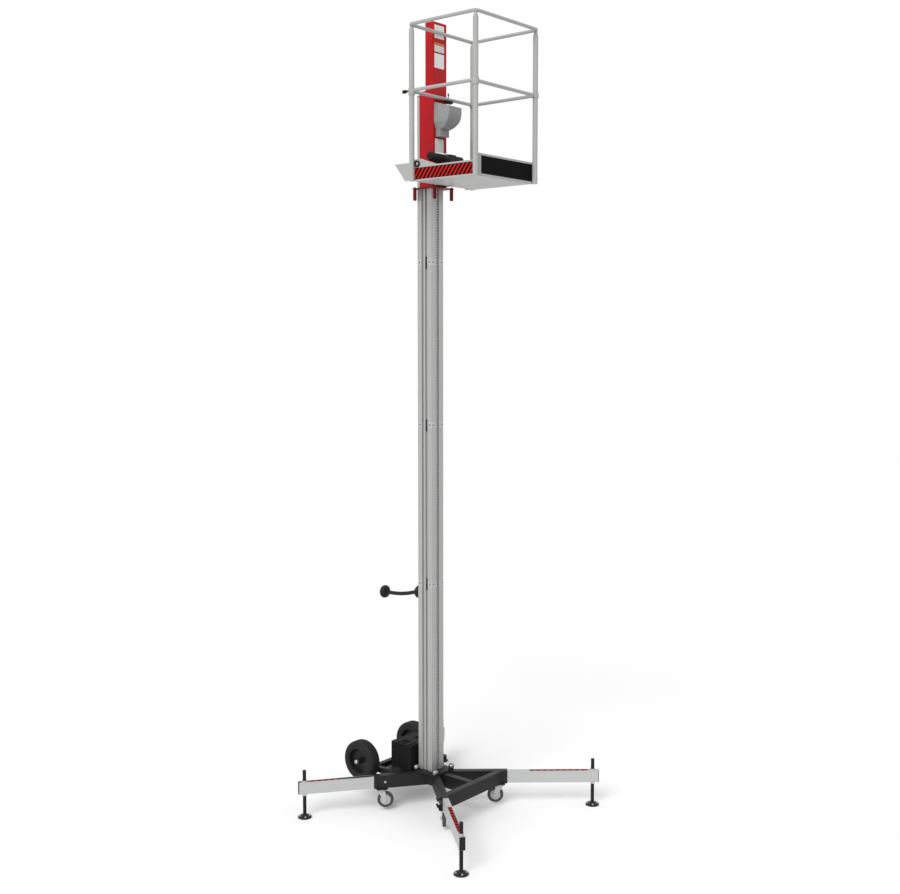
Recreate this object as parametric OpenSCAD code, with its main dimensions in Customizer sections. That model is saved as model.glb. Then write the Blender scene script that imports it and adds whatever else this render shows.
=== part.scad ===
// Vertical mast lift: a climbing work platform on a sectional mast,
// with four telescopic outrigger legs, screw jacks, casters and two transport wheels.
// Front is -Y, up is +Z, the ground is z = 0 and the origin is the middle of the stance.

/* [Stance] */
// Distance of each foot pad from the middle, across
foot_x = 810; // [720:5:900]
// Distance of each foot pad from the middle, fore and aft
foot_y = 771; // [690:5:850]
// Distance of the hub behind the middle of the stance
hub_y = 168; // [120:1:200]
// Distance of the mast axis behind the hub
mast_setback = 29; // [20:1:40]

/* [Outrigger legs] */
// Width of a leg tube
leg_w = 42; // [36:1:54]
// Height of a leg tube
leg_h = 92; // [80:1:110]
// Wall of a leg tube
leg_wall = 4; // [3:0.5:6]
// Length of a leg past its jack
leg_overrun = 42; // [36:1:60]
// Length of leg kept inside its arm
leg_overlap = 150; // [120:5:170]
// Height of the underside of a leg above the ground
leg_z = 188; // [180:1:200]
// Thickness of the end cap's face
cap_t = 5; // [3:0.5:8]
// Length of the end cap's plug
cap_plug = 14; // [8:1:20]

/* [Screw jacks] */
// Diameter of a jack rod
jack_rod_d = 28; // [22:1:30]
// Height of the top of a jack rod
jack_top_z = 370; // [340:5:420]
// Diameter of a foot pad
pad_d = 105; // [90:1:120]
// Thickness of a foot pad at its rim
pad_t = 12; // [8:1:18]
// Diameter of the hub on a foot pad
pad_hub_d = 44; // [38:1:60]
// Height of the hub on a foot pad above the ground
pad_hub_z = 26; // [22:1:60]
// Outer diameter of the nut on top of a leg
nut_d = 39; // [36:1:40]
// Outer diameter of the tube that guides a jack rod through its leg
guide_tube_d = 36; // [33:0.5:38]
// Height of the nut on top of a leg
nut_h = 12; // [8:1:24]
// Length of the guide tube below a leg
guide_drop = 14; // [6:1:24]

/* [Base frame] */
// Wall of an arm
arm_wall = 4; // [3:0.5:6]
// Clearance round a leg inside its arm
leg_gap = 0.5; // [0.3:0.1:1]
// Length of a front arm from the hub's middle
arm_front_len = 572; // [520:1:620]
// Length of a rear arm from the hub's middle
arm_rear_len = 477; // [440:1:520]
// Width of the hub's square core
core_w = 120; // [110:1:140]
// Wall of the hub's core
core_wall = 6; // [4:0.5:10]
// Width of the cross-beam
beam_w = 50; // [40:1:60]
// Distance of the cross-beam's front face ahead of the hub
beam_reach = 421; // [380:1:430]
// Wall of the cross-beam and its strut
beam_wall = 4; // [3:0.5:6]
// Width of the square base plate
plate_w = 226; // [210:1:240]
// Thickness of the base plate
plate_t = 14; // [8:1:20]
// Distance of the docking domes from the hub, across and fore-and-aft
dock_half = 97; // [94:1:102]
// Diameter of a docking dome
dome_d = 46; // [36:1:52]
// Height of a docking dome's middle above the base plate
dome_rise = 15; // [10:1:18]

/* [Lock pins] */
// Diameter of a lock pin
pin_d = 12; // [8:1:16]
// Diameter of the boss that carries a lock pin
pin_boss_d = 24; // [18:1:28]
// Length of the boss
pin_boss_len = 10; // [6:1:16]
// Length of the neck between boss and handle
pin_neck_len = 10; // [6:1:16]
// Diameter of the cross handle
pin_handle_d = 16; // [12:1:20]
// Length of the cross handle
pin_handle_len = 46; // [36:1:60]
// Distance of the lock pins from an arm's open end
pin_inset = 46; // [36:1:60]

/* [Foot knob] */
// Diameter of the round knob beside the mast's foot
knob_d = 58; // [36:1:64]
// Height of the knob
knob_h = 36; // [20:1:44]
// Height of the knob's underside above the base plate
knob_rise = 46; // [30:1:70]
// Diameter of the knob's stud
knob_stud_d = 12; // [8:1:16]

/* [Transport wheels] */
// Distance of the wheels from the middle, across
wheel_x = 303; // [295:1:330]
// Distance of the axle behind the hub
wheel_reach = 483; // [470:1:500]
// Height of the axle
wheel_z = 341; // [335:1:370]
// Diameter of a wheel
wheel_d = 312; // [270:1:320]
// Width of a wheel
wheel_w = 97; // [70:1:100]
// Diameter of the rim inside the tyre
rim_d = 212; // [160:1:220]
// Diameter of the axle
axle_d = 25; // [20:1:30]
// Length of the axle beyond the tyre
axle_overhang = 24; // [4:1:30]
// How far the rim's hub stands out beyond the tyre
hub_out = 8; // [0:1:14]
// Running clearance of a wheel on its axle
axle_gap = 0.3; // [0.2:0.1:0.5]
// Width of the square tubes that carry the wheels
rail_w = 40; // [30:1:50]
// Distance of the side tubes from the middle
rail_x = 210; // [190:1:225]
// Distance of the rear cross tube's middle ahead of the axle
rail_lead = 51; // [40:1:60]
// Thickness of the pan under the side tubes
pan_t = 3; // [2:0.5:6]
// Thickness of a wheel bracket
bracket_t = 8; // [6:1:12]

/* [Casters] */
// Diameter of a caster wheel
caster_d = 125; // [100:1:130]
// Width of a caster wheel
caster_w = 32; // [24:1:36]
// Depth of the rubber tread on a caster wheel
caster_tread = 22; // [14:1:26]
// Height of a caster axle
caster_z = 90; // [80:1:94]
// Trail of a caster wheel behind its swivel
caster_trail = 30; // [20:1:38]
// Distance of the front casters along their arms
caster_front_r = 510; // [460:1:522]
// Distance of the rear casters along their arms
caster_rear_r = 415; // [360:1:428]
// Width of a caster's square top plate
caster_plate_w = 90; // [76:1:100]
// Thickness of a caster's top plate
caster_plate_t = 6; // [4:0.5:8]
// Thickness of the sheet of a caster fork
fork_t = 4; // [3:0.5:5]
// Diameter of a caster axle
caster_axle_d = 12; // [8:1:14]

/* [Mast] */
// Width of the square mast
mast_w = 137; // [130:1:140]
// Wall of the mast section
mast_wall = 4; // [3:0.5:5]
// Length of the first mast section
mast_foot_len = 1469; // [1300:1:1600]
// Length of each further mast section
mast_len = 1219.2; // [1000:0.1:1300]
// Width of each groove in the sides and the back
groove_w = 21; // [16:1:24]
// Depth of the grooves
groove_d = 14; // [10:1:16]
// Width of the rib between two grooves
rib_w = 14; // [10:1:18]
// Width of the front channel
channel_w = 36; // [32:1:42]
// Depth of the front channel
channel_d = 24; // [20:1:28]
// Thickness of the cap on the mast
mast_cap_t = 6; // [4:1:12]

/* [Rack] */
// Width of the rack
rack_w = 24; // [18:1:28]
// Pitch of the rack teeth
rack_pitch = 20; // [16:0.5:30]
// Depth of the rack teeth
rack_tooth = 9; // [7:0.5:11]
// Distance of the tooth tips behind the mast's front face
rack_sink = 3; // [2:0.5:6]

/* [Mast latches] */
// Length of a draw latch
latch_len = 92; // [70:1:120]
// Width of a draw latch
latch_w = 16; // [12:1:18]
// Thickness of a draw latch
latch_t = 8; // [6:0.5:9]

/* [Tilting handle] */
// Distance of the handle's boss below the mast's first joint
handle_below = 89; // [60:1:200]
// Diameter of the boss
handle_boss_d = 58; // [46:1:64]
// Length of the boss
handle_boss_len = 24; // [20:1:40]
// Thickness of the round shield on the boss
shield_t = 48; // [30:1:60]
// Diameter of the handle bar
handle_d = 30; // [20:1:34]
// Distance of the grip's middle behind the mast's rear face
handle_reach = 413; // [380:1:430]
// Drop of the grip below the boss
handle_drop = 48; // [20:1:60]
// Sag of the bar's bow
handle_bow = 16; // [8:1:40]
// Diameter of the round grip
grip_d = 101; // [90:1:110]
// Thickness of the round grip
grip_t = 50; // [40:1:80]
// Rounding of the grip and the shield
grip_round = 24; // [8:1:24]

/* [Battery] */
// Width of the battery box
battery_w = 270; // [240:1:290]
// Depth of the battery box
battery_d = 204; // [180:1:215]
// Height of the battery box
battery_h = 195; // [160:1:210]
// Gap between the base plate and the battery box
battery_gap = 12; // [8:1:20]
// Thickness of the battery's shelf
shelf_t = 4; // [3:0.5:8]
// Width of the strap that carries the shelf on the side tubes
strap_w = 60; // [30:1:110]

/* [Climbing column] */
// Clearance between the column and the mast
climb_gap = 5; // [4.5:0.5:7]
// Thickness of the column's sheet
sheet_t = 3; // [2:0.5:4]
// Distance of the column's front face ahead of the mast's face
column_lead = 28.5; // [24:0.5:34]
// Height of the column's bottom edge
column_z = 4752; // [4600:1:4800]
// Height of the column's top above the top rail
column_rise = 80; // [20:1:120]
// Height of the column's deep lower part
wing_h = 704; // [600:1:720]
// Depth of the lower side wings from the front face
wing_deep = 136; // [120:1:142]
// Depth of the upper side wings from the front face
wing_shallow = 77; // [60:1:100]
// Width of the square bottom flange
flange_w = 226; // [216:1:232]
// Thickness of the bottom flange
flange_t = 6; // [4:1:10]
// Width of the gap in the flange behind the mast
flange_slot = 76; // [72:1:90]
// Diameter of the docking prongs
prong_d = 27; // [20:1:30]
// Length of the docking prongs
prong_len = 84; // [70:1:86]
// Height of a guide pad
guide_h = 120; // [90:5:160]
// Width of a guide pad
guide_w = 26; // [20:1:30]
// Clearance of a guide pad on the mast
guide_gap = 0.8; // [0.5:0.1:1]

/* [Drive cover] */
// Width of the drive cover
cover_w = 140; // [120:1:146]
// Depth of the drive cover
cover_d = 148; // [130:1:165]
// Height of the drive cover at the column
cover_h = 250; // [230:1:255]
// Fall of the drive cover's top towards its front
cover_drop = 45; // [20:1:60]
// Height at which the cover's front starts to curve back
cover_belly = 170; // [150:1:190]
// Radius of that curve
cover_curve_r = 120; // [100:1:130]
// Height at which the cover's sides start to draw in
cover_crease = 105; // [80:1:130]
// Width of the cover's foot
cover_foot_w = 100; // [80:1:120]
// Depth of the cover's foot
cover_foot_d = 45; // [36:1:60]
// Height of the cover's foot
cover_foot_h = 50; // [40:1:60]
// Height of the drive cover's underside above the column's bottom
cover_rise = 368; // [340:1:369]
// Wall of the drive cover
cover_wall = 3; // [2:0.5:5]

/* [Drive motor] */
// Diameter of the motor's casing
motor_d = 68; // [56:1:76]
// Distance of the motor's outer end from the middle
motor_reach = 205; // [190:1:250]
// Length of the motor's casing
motor_len = 196; // [150:1:210]
// Rounding of the motor's outer end
motor_round = 14; // [6:1:20]
// Width of the gearbox beside the motor
gearbox_w = 70; // [60:1:100]
// Diameter of the brake beyond the gearbox
brake_d = 60; // [46:1:64]
// Distance of the brake's end from the middle
brake_reach = 150; // [120:1:160]
// Distance of the motor's axis ahead of the column
motor_lead = 73; // [60:1:90]
// Gap between the motor and the top of the toe board under it
motor_gap = 2; // [1:1:20]

/* [Platform] */
// Distance between the corner posts, across
post_span_x = 696; // [640:1:760]
// Distance between the corner posts, fore and aft
post_span_y = 585; // [540:1:660]
// Diameter of a corner post
post_d = 38; // [30:1:42]
// Distance of the rear posts ahead of the column's front face
post_lead = 29; // [26:1:40]
// Height of the floor's underside above the column's bottom
floor_rise = 13; // [10:1:30]
// Thickness of the floor
floor_t = 6; // [4:1:12]
// Height of the toe boards
toe_h = 155; // [120:1:170]
// Thickness of the toe boards
toe_t = 3; // [2:0.5:5]
// Height of the toe board under the entrance
entry_toe_h = 106; // [90:1:120]
// Length of the entrance toe board's full height, beside the rear post
entry_toe_full = 60; // [50:1:100]
// Distance from the rear at which it reaches its lower height
entry_toe_slope = 205; // [120:1:260]
// Height of the top rail's middle above the floor's underside
top_rail_h = 1100; // [1050:1:1150]
// Height of the middle rails above the floor's underside
mid_rail_h = 634; // [560:1:635]
// Diameter of the rails
rail_d = 25; // [20:1:30]
// Distance of the top rail outside the line of the posts
top_rail_out = 12; // [0:1:16]
// Bend radius of the top rail
rail_bend = 32; // [26:1:60]
// Gap between a corner post's end and the top rail on it
rail_seat = 0.3; // [0.1:0.1:0.5]
// Rise of the entry bar above the middle rails
bar_rise = 6; // [2:1:10]
// Height of a post collar
collar_h = 34; // [30:1:44]
// Wall of a post collar
collar_wall = 5; // [4:0.5:8]
// Clearance of the sliding collars on their posts
collar_gap = 0.5; // [0.3:0.1:1]

/* [Tail plates] */
// Thickness of the tail plates
tail_t = 4; // [3:0.5:6]
// Height of the tail plates
tail_h = 126; // [100:1:140]
// Length of their lower edge
tail_foot = 46; // [30:1:70]
// Length of their upper edge
tail_reach = 145; // [110:1:160]

/* [Hidden] */
$fn = 48;

// Corners of the stance: name, side (-1 left, 1 right), end (-1 front, 1 rear), caster heading
CORNERS = [
    ["front_left", -1, -1, 40],
    ["front_right", 1, -1, 130],
    ["rear_left", -1, 1, -50],
    ["rear_right", 1, 1, 130]];
SIDE = 1;
END = 2;
HEADING = 3;

silver = "#c8c8c8";
black = "#2e2e2e";
red = "#b01c24";

mast_y = hub_y + mast_setback;
mast_half = mast_w / 2;
arm_w = leg_w + 2 * leg_gap + 2 * arm_wall;
arm_h = leg_h + 2 * leg_gap + 2 * arm_wall;
arm_z = leg_z - leg_gap - arm_wall;
arm_top = arm_z + arm_h;
plate_top = arm_top + plate_t;
mast_z = plate_top;
wheel_y = hub_y + wheel_reach;

column_half = mast_half + climb_gap + sheet_t;
column_front = mast_y - mast_half - column_lead;
flange_z = column_z - flange_t;
floor_z = column_z + floor_rise;
post_x = post_span_x / 2;
post_rear_y = column_front - post_lead;
post_front_y = post_rear_y - post_span_y;
post_mid_y = (post_rear_y + post_front_y) / 2;
top_rail_z = floor_z + top_rail_h;
column_h = top_rail_z + column_rise - column_z;
mid_rail_z = floor_z + mid_rail_h;
// The sliding collars of the entry bar rest on fixed stop rings just under the middle rails
rest_gap = 0.3;
stop_z = mid_rail_z - rail_d / 2 - 0.5;
bar_z = mid_rail_z + bar_rise;
// The toe boards pass just inside the posts, corner to post
tray_inset = post_d / 2 * sin(45) + 0.3;
tray_x = post_x - tray_inset;
tray_front = post_front_y + tray_inset;
tray_rear = post_rear_y - tray_inset;

function foot_at(c) = [c[SIDE] * foot_x, c[END] * foot_y];
function leg_angle(c) = atan2(c[END] * foot_y - hub_y, c[SIDE] * foot_x);
function jack_r(c) = norm(foot_at(c) - [0, hub_y]);
function arm_len(c) = c[END] < 0 ? arm_front_len : arm_rear_len;
function caster_r(c) = c[END] < 0 ? caster_front_r : caster_rear_r;
function corner_is(name) = [for (c = CORNERS) if (c[0] == name) c][0];

// Puts its children in a corner's own frame: +X outward along the leg, from the hub's middle
module along_leg(c) {
    translate([0, hub_y, 0])
        rotate(leg_angle(c))
            children();
}

module round_square(w, d, r) {
    square([w - 2 * r, d], center = true);
    square([w, d - 2 * r], center = true);
    for (x = [-1, 1], y = [-1, 1])
        translate([x * (w / 2 - r), y * (d / 2 - r)])
            circle(r);
}

// A straight square-cornered tube along +X
module box_tube(len, w, h, wall) {
    difference() {
        translate([0, -w / 2, 0])
            cube([len, w, h]);
        translate([-1, wall - w / 2, wall])
            cube([len + 2, w - 2 * wall, h - 2 * wall]);
    }
}

// Base frame
module core_block(grow) {
    translate([0, hub_y, arm_z + arm_h / 2])
        cube([core_w, core_w, arm_h + 2 * grow], center = true);
}

module arm_blank(c) {
    along_leg(c)
        translate([0, -arm_w / 2, arm_z - 1])
            cube([arm_len(c), arm_w, arm_h + 2]);
}

module hub_plate() {
    color(black) {
        difference() {
            core_block(0);
            translate([0, hub_y, arm_z + arm_h / 2])
                cube([core_w - 2 * core_wall, core_w - 2 * core_wall, arm_h + 2], center = true);
        }
        translate([0, hub_y, arm_top])
            linear_extrude(plate_t)
                round_square(plate_w, plate_w, 10);
    }
}

module docking_domes() {
    color(silver)
        for (x = [-1, 1], y = [-1, 1])
            translate([x * dock_half, hub_y + y * dock_half, plate_top])
                intersection() {
                    translate([0, 0, dome_rise])
                        sphere(d = dome_d);
                    cylinder(d = dome_d + 2, h = dome_d);
                }
}

module arm(name) {
    c = corner_is(name);
    color(black)
        difference() {
            along_leg(c)
                translate([0, 0, arm_z])
                    box_tube(arm_len(c), arm_w, arm_h, arm_wall);
            core_block(1);
            pin_places(c, pin_d);
        }
}

// Hollow beam between the front arms, with the strut that ties it to the hub
module cross_beam() {
    beam_front = hub_y - beam_reach;
    strut_len = beam_reach - beam_w - core_w / 2;
    color(black) {
        difference() {
            translate([-foot_x / 2, beam_front + beam_w / 2, arm_z])
                box_tube(foot_x, beam_w, arm_h, beam_wall);
            for (c = CORNERS)
                arm_blank(c);
            for (s = [-1, 1])
                outside_front_arm(s, beam_front);
        }
        difference() {
            translate([0, beam_front + beam_w, arm_z])
                rotate(90)
                    box_tube(strut_len, beam_w, arm_h, beam_wall);
            for (c = CORNERS)
                arm_blank(c);
        }
    }
}

// The part of the beam's blank that lies beyond a front arm
module outside_front_arm(side, beam_front) {
    c = [for (k = CORNERS) if (k[END] < 0 && k[SIDE] == side) k][0];
    along_leg(c)
        translate([0, side < 0 ? -foot_x : 0, arm_z - 1])
            cube([2 * foot_x, foot_x, arm_h + 2]);
}

// Lock pins: along the arm, across it (1 is the side that faces sideways), up from the leg's underside
function pin_rows(c) = c[END] < 0 ? [20, 68] : [44];
function pin_side(c) = -c[SIDE];

module at_pins(c) {
    along_leg(c)
        for (up = pin_rows(c))
            translate([arm_len(c) - pin_inset, 0, leg_z + up])
                rotate([pin_side(c) * 90, 0, 0])
                    children();
}

module pin_places(c, d) {
    at_pins(c)
        translate([0, 0, leg_w / 2])
            cylinder(d = d, h = arm_w);
}

module lock_knobs() {
    tip = leg_w / 2 + leg_gap;
    outside = arm_w / 2;
    color(black) {
        for (c = CORNERS)
            at_pins(c) {
                translate([0, 0, tip])
                    cylinder(d = pin_d, h = outside - tip + pin_boss_len + pin_neck_len + pin_handle_d / 2);
                translate([0, 0, outside])
                    cylinder(d = pin_boss_d, h = pin_boss_len);
                translate([-pin_handle_len / 2, 0, outside + pin_boss_len + pin_neck_len + pin_handle_d / 2])
                    rotate([0, 90, 0])
                        cylinder(d = pin_handle_d, h = pin_handle_len);
            }
        foot_knob();
    }
}

// Round knob on a stud, standing on the base plate beside the mast
module foot_knob() {
    translate([mast_half + knob_d / 2 + 1, mast_y - mast_half + knob_d / 2, plate_top]) {
        cylinder(d = knob_stud_d, h = knob_rise + 1);
        translate([0, 0, knob_rise])
            cylinder(d = knob_d, h = knob_h);
    }
}

// Transport wheels
module wheel_frame() {
    rail_z = arm_top - rail_w;
    cross_y = wheel_y - rail_lead;
    bracket_x = wheel_x - wheel_w / 2 - bracket_t - 6;
    color(black) {
        for (s = [-1, 1]) {
            difference() {
                translate([s * rail_x, hub_y + core_w / 2, rail_z])
                    rotate(90)
                        box_tube(cross_y - rail_w / 2 - hub_y - core_w / 2, rail_w, rail_w, 3);
                for (c = CORNERS)
                    ahead_of_rear_arm(c);
            }
            wheel_bracket(s, bracket_x, cross_y, rail_z);
        }
        translate([-bracket_x, cross_y, rail_z])
            box_tube(2 * bracket_x, rail_w, rail_w, 3);
        wheel_frame_pan(cross_y, rail_z);
    }
}

// Sheet that closes the frame's underside between the rear arms and the cross tube
module wheel_frame_pan(cross_y, rail_z) {
    outside = rail_x + rail_w / 2;
    difference() {
        translate([-outside, hub_y + core_w / 2, rail_z - pan_t])
            cube([2 * outside, cross_y + rail_w / 2 - hub_y - core_w / 2, pan_t]);
        for (c = CORNERS)
            ahead_of_rear_arm(c);
    }
}

// Clears all that lies ahead of a rear arm's rear face
module ahead_of_rear_arm(c) {
    if (c[END] > 0)
        along_leg(c)
            translate([-foot_x, c[SIDE] > 0 ? arm_w / 2 - 2 * foot_x : -arm_w / 2, arm_z - 1])
                cube([3 * foot_x, 2 * foot_x, arm_h + 2]);
}

// Cheek plate that rises from the cross tube to the axle, with its axle stub
module wheel_bracket(s, bracket_x, cross_y, rail_z) {
    boss_r = axle_d / 2 + 14;
    translate([s * bracket_x + (s < 0 ? -bracket_t : 0), 0, 0])
        rotate([90, 0, 90])
            linear_extrude(bracket_t) {
                translate([wheel_y, wheel_z])
                    circle(boss_r);
                polygon([
                    [cross_y - rail_w / 2, rail_z],
                    [cross_y + rail_w / 2, rail_z],
                    [wheel_y + boss_r, wheel_z],
                    [wheel_y - boss_r, wheel_z]]);
            }
    stub_len = wheel_w + 6 + bracket_t + axle_overhang;
    translate([s * bracket_x, wheel_y, wheel_z])
        rotate([0, s * 90, 0])
            cylinder(d = axle_d, h = stub_len);
    translate([s * (bracket_x + bracket_t), wheel_y, wheel_z])
        rotate([0, s * 90, 0])
            cylinder(d = axle_d + 14, h = 5.7);
}

module at_wheel(side) {
    translate([side * wheel_x, wheel_y, wheel_z])
        rotate([0, side * 90, 0])
            children();
}

module tyre(side) {
    shoulder = 16;
    color(black)
        at_wheel(side)
            rotate_extrude($fn = 72)
                difference() {
                    translate([rim_d / 2, -wheel_w / 2])
                        square([(wheel_d - rim_d) / 2, wheel_w]);
                    for (m = [0, 1])
                        mirror([0, m])
                            translate([wheel_d / 2 - shoulder, wheel_w / 2 - shoulder])
                                difference() {
                                    square(shoulder + 1);
                                    circle(shoulder);
                                }
                }
}

// Dished rim: hub tube, cone-shaped disc and flange seat under the tyre
module rim(side) {
    bore_r = axle_d / 2 + axle_gap;
    hub_r = bore_r + 10;
    color(black)
        at_wheel(side)
            rotate_extrude($fn = 72)
                polygon([
                    [bore_r, -wheel_w / 2],
                    [hub_r, -wheel_w / 2],
                    [hub_r, -6],
                    [rim_d / 2 - 8, -2],
                    [rim_d / 2 - 8, -wheel_w / 2 + 6],
                    [rim_d / 2, -wheel_w / 2 + 4],
                    [rim_d / 2, wheel_w / 2 - 4],
                    [rim_d / 2 - 8, wheel_w / 2 - 6],
                    [rim_d / 2 - 8, 6],
                    [hub_r, 2],
                    [hub_r, wheel_w / 2 + hub_out],
                    [bore_r, wheel_w / 2 + hub_out]]);
}

// Casters
fork_crown_z = caster_z + caster_d / 2 + 4;
caster_plate_z = arm_z - caster_plate_t;

module at_caster(c) {
    along_leg(c)
        translate([caster_r(c), 0, 0])
            rotate(c[HEADING] - leg_angle(c))
                children();
}

module caster_plates() {
    color(black)
        for (c = CORNERS)
            along_leg(c)
                translate([caster_r(c), 0, caster_plate_z])
                    linear_extrude(caster_plate_t)
                        round_square(caster_plate_w, caster_plate_w, 8);
}

module fork(name) {
    c = corner_is(name);
    inner = caster_w / 2 + 2;
    swivel_gap = 0.3;
    color(silver)
        at_caster(c) {
            translate([0, 0, fork_crown_z])
                cylinder(d = 62, h = caster_plate_z - swivel_gap - fork_crown_z);
            translate([0, 0, fork_crown_z])
                linear_extrude(fork_t)
                    square([56, 2 * (inner + fork_t)], center = true);
            for (m = [0, 1])
                mirror([0, m, 0])
                    translate([0, inner + fork_t, 0])
                        rotate([90, 0, 0])
                            linear_extrude(fork_t) {
                                polygon([
                                    [-28, fork_crown_z + fork_t],
                                    [28, fork_crown_z + fork_t],
                                    [caster_trail + 16, caster_z],
                                    [caster_trail - 16, caster_z]]);
                                translate([caster_trail, caster_z])
                                    circle(16);
                            }
            translate([caster_trail, inner + fork_t + 4, caster_z])
                rotate([90, 0, 0])
                    cylinder(d = caster_axle_d, h = 2 * (inner + fork_t + 4));
        }
}

module caster(name) {
    c = corner_is(name);
    hub_r = caster_axle_d / 2 + 9;
    bore_r = caster_axle_d / 2 + axle_gap;
    half = caster_w / 2;
    tyre_r = caster_d / 2;
    color("#8c8c8c")
        at_caster(c)
            translate([caster_trail, 0, caster_z])
                rotate([90, 0, 0])
                    rotate_extrude($fn = 64)
                        polygon([
                            [bore_r, -half],
                            [hub_r, -half],
                            [hub_r, -half + 8],
                            [tyre_r - caster_tread, -half + 8],
                            [tyre_r - caster_tread + 2, -half + 1],
                            [tyre_r - 4, -half + 2],
                            [tyre_r, -half + 9],
                            [tyre_r, half - 9],
                            [tyre_r - 4, half - 2],
                            [tyre_r - caster_tread + 2, half - 1],
                            [tyre_r - caster_tread, half - 8],
                            [hub_r, half - 8],
                            [hub_r, half],
                            [bore_r, half]]);
}

// Outrigger legs and jacks
module leg(name) {
    c = corner_is(name);
    start = arm_len(c) - leg_overlap;
    end = jack_r(c) + leg_overrun;
    color(silver)
        along_leg(c)
            difference() {
                union() {
                    translate([start, 0, leg_z])
                        box_tube(end - start, leg_w, leg_h, leg_wall);
                    translate([jack_r(c), 0, leg_z - guide_drop])
                        cylinder(d = guide_tube_d, h = guide_drop + leg_h);
                    translate([jack_r(c), 0, leg_z + leg_h])
                        cylinder(d = nut_d, h = nut_h);
                }
                translate([jack_r(c), 0, leg_z - guide_drop - 1])
                    cylinder(d = jack_rod_d + 0.6, h = guide_drop + leg_h + nut_h + 2);
            }
}

module leg_cap(name) {
    c = corner_is(name);
    end = jack_r(c) + leg_overrun;
    plug_w = leg_w - 2 * leg_wall - 0.4;
    plug_h = leg_h - 2 * leg_wall - 0.4;
    color(black)
        along_leg(c) {
            translate([end, -leg_w / 2, leg_z])
                cube([cap_t, leg_w, leg_h]);
            translate([end - cap_plug, -plug_w / 2, leg_z + (leg_h - plug_h) / 2])
                cube([cap_plug, plug_w, plug_h]);
        }
}

module jack(name) {
    c = corner_is(name);
    color(black)
        translate(concat(foot_at(c), 0))
            rotate_extrude($fn = 64)
                polygon([
                    [0, 0],
                    [pad_d / 2, 0],
                    [pad_d / 2, pad_t - 4],
                    [pad_d / 2 - 4, pad_t],
                    [pad_hub_d / 2 + 4, pad_t + 3],
                    [pad_hub_d / 2 - 2, pad_hub_z - 4],
                    [pad_hub_d / 2 - 6, pad_hub_z],
                    [jack_rod_d / 2, pad_hub_z],
                    [jack_rod_d / 2, jack_top_z - 2],
                    [jack_rod_d / 2 - 2, jack_top_z],
                    [0, jack_top_z]]);
}

// Mast
module mast_outline(inset) {
    w = mast_w - 2 * inset;
    pair_w = 2 * groove_w + rib_w;
    difference() {
        square(w, center = true);
        for (a = [-90, 90, 180])
            rotate(a)
                translate([0, -mast_half])
                    if (inset > 0)
                        translate([-pair_w / 2 - inset, -1])
                            square([pair_w + 2 * inset, groove_d + inset + 1]);
                    else
                        for (s = [-1, 1])
                            translate([s * (rib_w + groove_w) / 2 - groove_w / 2, -1])
                                square([groove_w, groove_d + 1]);
        translate([-channel_w / 2 - inset, -mast_half - 1])
            square([channel_w + 2 * inset, channel_d + inset + 1]);
    }
}

function section_z(i) = mast_z + (i == 0 ? 0 : mast_foot_len + (i - 1) * mast_len);
function section_len(i) = i == 0 ? mast_foot_len : mast_len;
mast_sections = 4;
mast_top = section_z(mast_sections);
handle_z = section_z(1) - handle_below;

module mast_section(i) {
    color(silver)
        translate([0, mast_y, section_z(i)])
            linear_extrude(section_len(i))
                difference() {
                    mast_outline(0);
                    mast_outline(mast_wall);
                }
}

module mast_cap() {
    color(black)
        translate([0, mast_y, mast_top])
            linear_extrude(mast_cap_t)
                mast_outline(0);
}

// Toothed rack in the front channel, with one straight-flanked tooth each pitch
module mast_rack() {
    back = mast_y - mast_half + channel_d;
    tip = mast_y - mast_half + rack_sink;
    root = tip + rack_tooth;
    teeth = floor((mast_top - mast_z) / rack_pitch);
    flank = rack_tooth * tan(20);
    land = (rack_pitch / 2 - flank) / 2;
    color("#5a5a5a")
        translate([-rack_w / 2, 0, mast_z])
            rotate([90, 0, 90])
                linear_extrude(rack_w)
                    polygon(concat(
                        [[back, mast_top - mast_z], [back, 0], [root, 0]],
                        [for (i = [0:teeth - 1], p = [
                            [root, -land - flank],
                            [tip, -land],
                            [tip, land],
                            [root, land + flank]])
                            [p[0], (i + 0.5) * rack_pitch + p[1]]],
                        [[root, mast_top - mast_z]]));
}

// Draw latches that clamp the mast sections, sunk in the front grooves of both sides
module mast_latches() {
    groove_y = mast_y - (rib_w + groove_w) / 2;
    floor_x = mast_half - groove_d;
    color(black)
        for (i = [1:mast_sections - 1], s = [-1, 1])
            translate([s * floor_x, groove_y, section_z(i)])
                rotate([90, 0, s < 0 ? 180 : 0])
                    translate([0, 0, -latch_w / 2]) {
                        linear_extrude(latch_w)
                            polygon([
                                [0, -latch_len * 0.55],
                                [latch_t, -latch_len * 0.5],
                                [latch_t, -latch_len * 0.1],
                                [latch_t * 0.6, 0],
                                [latch_t * 0.6, latch_len * 0.3],
                                [latch_t, latch_len * 0.33],
                                [latch_t, latch_len * 0.42],
                                [0, latch_len * 0.45]]);
                    }
}

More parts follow.
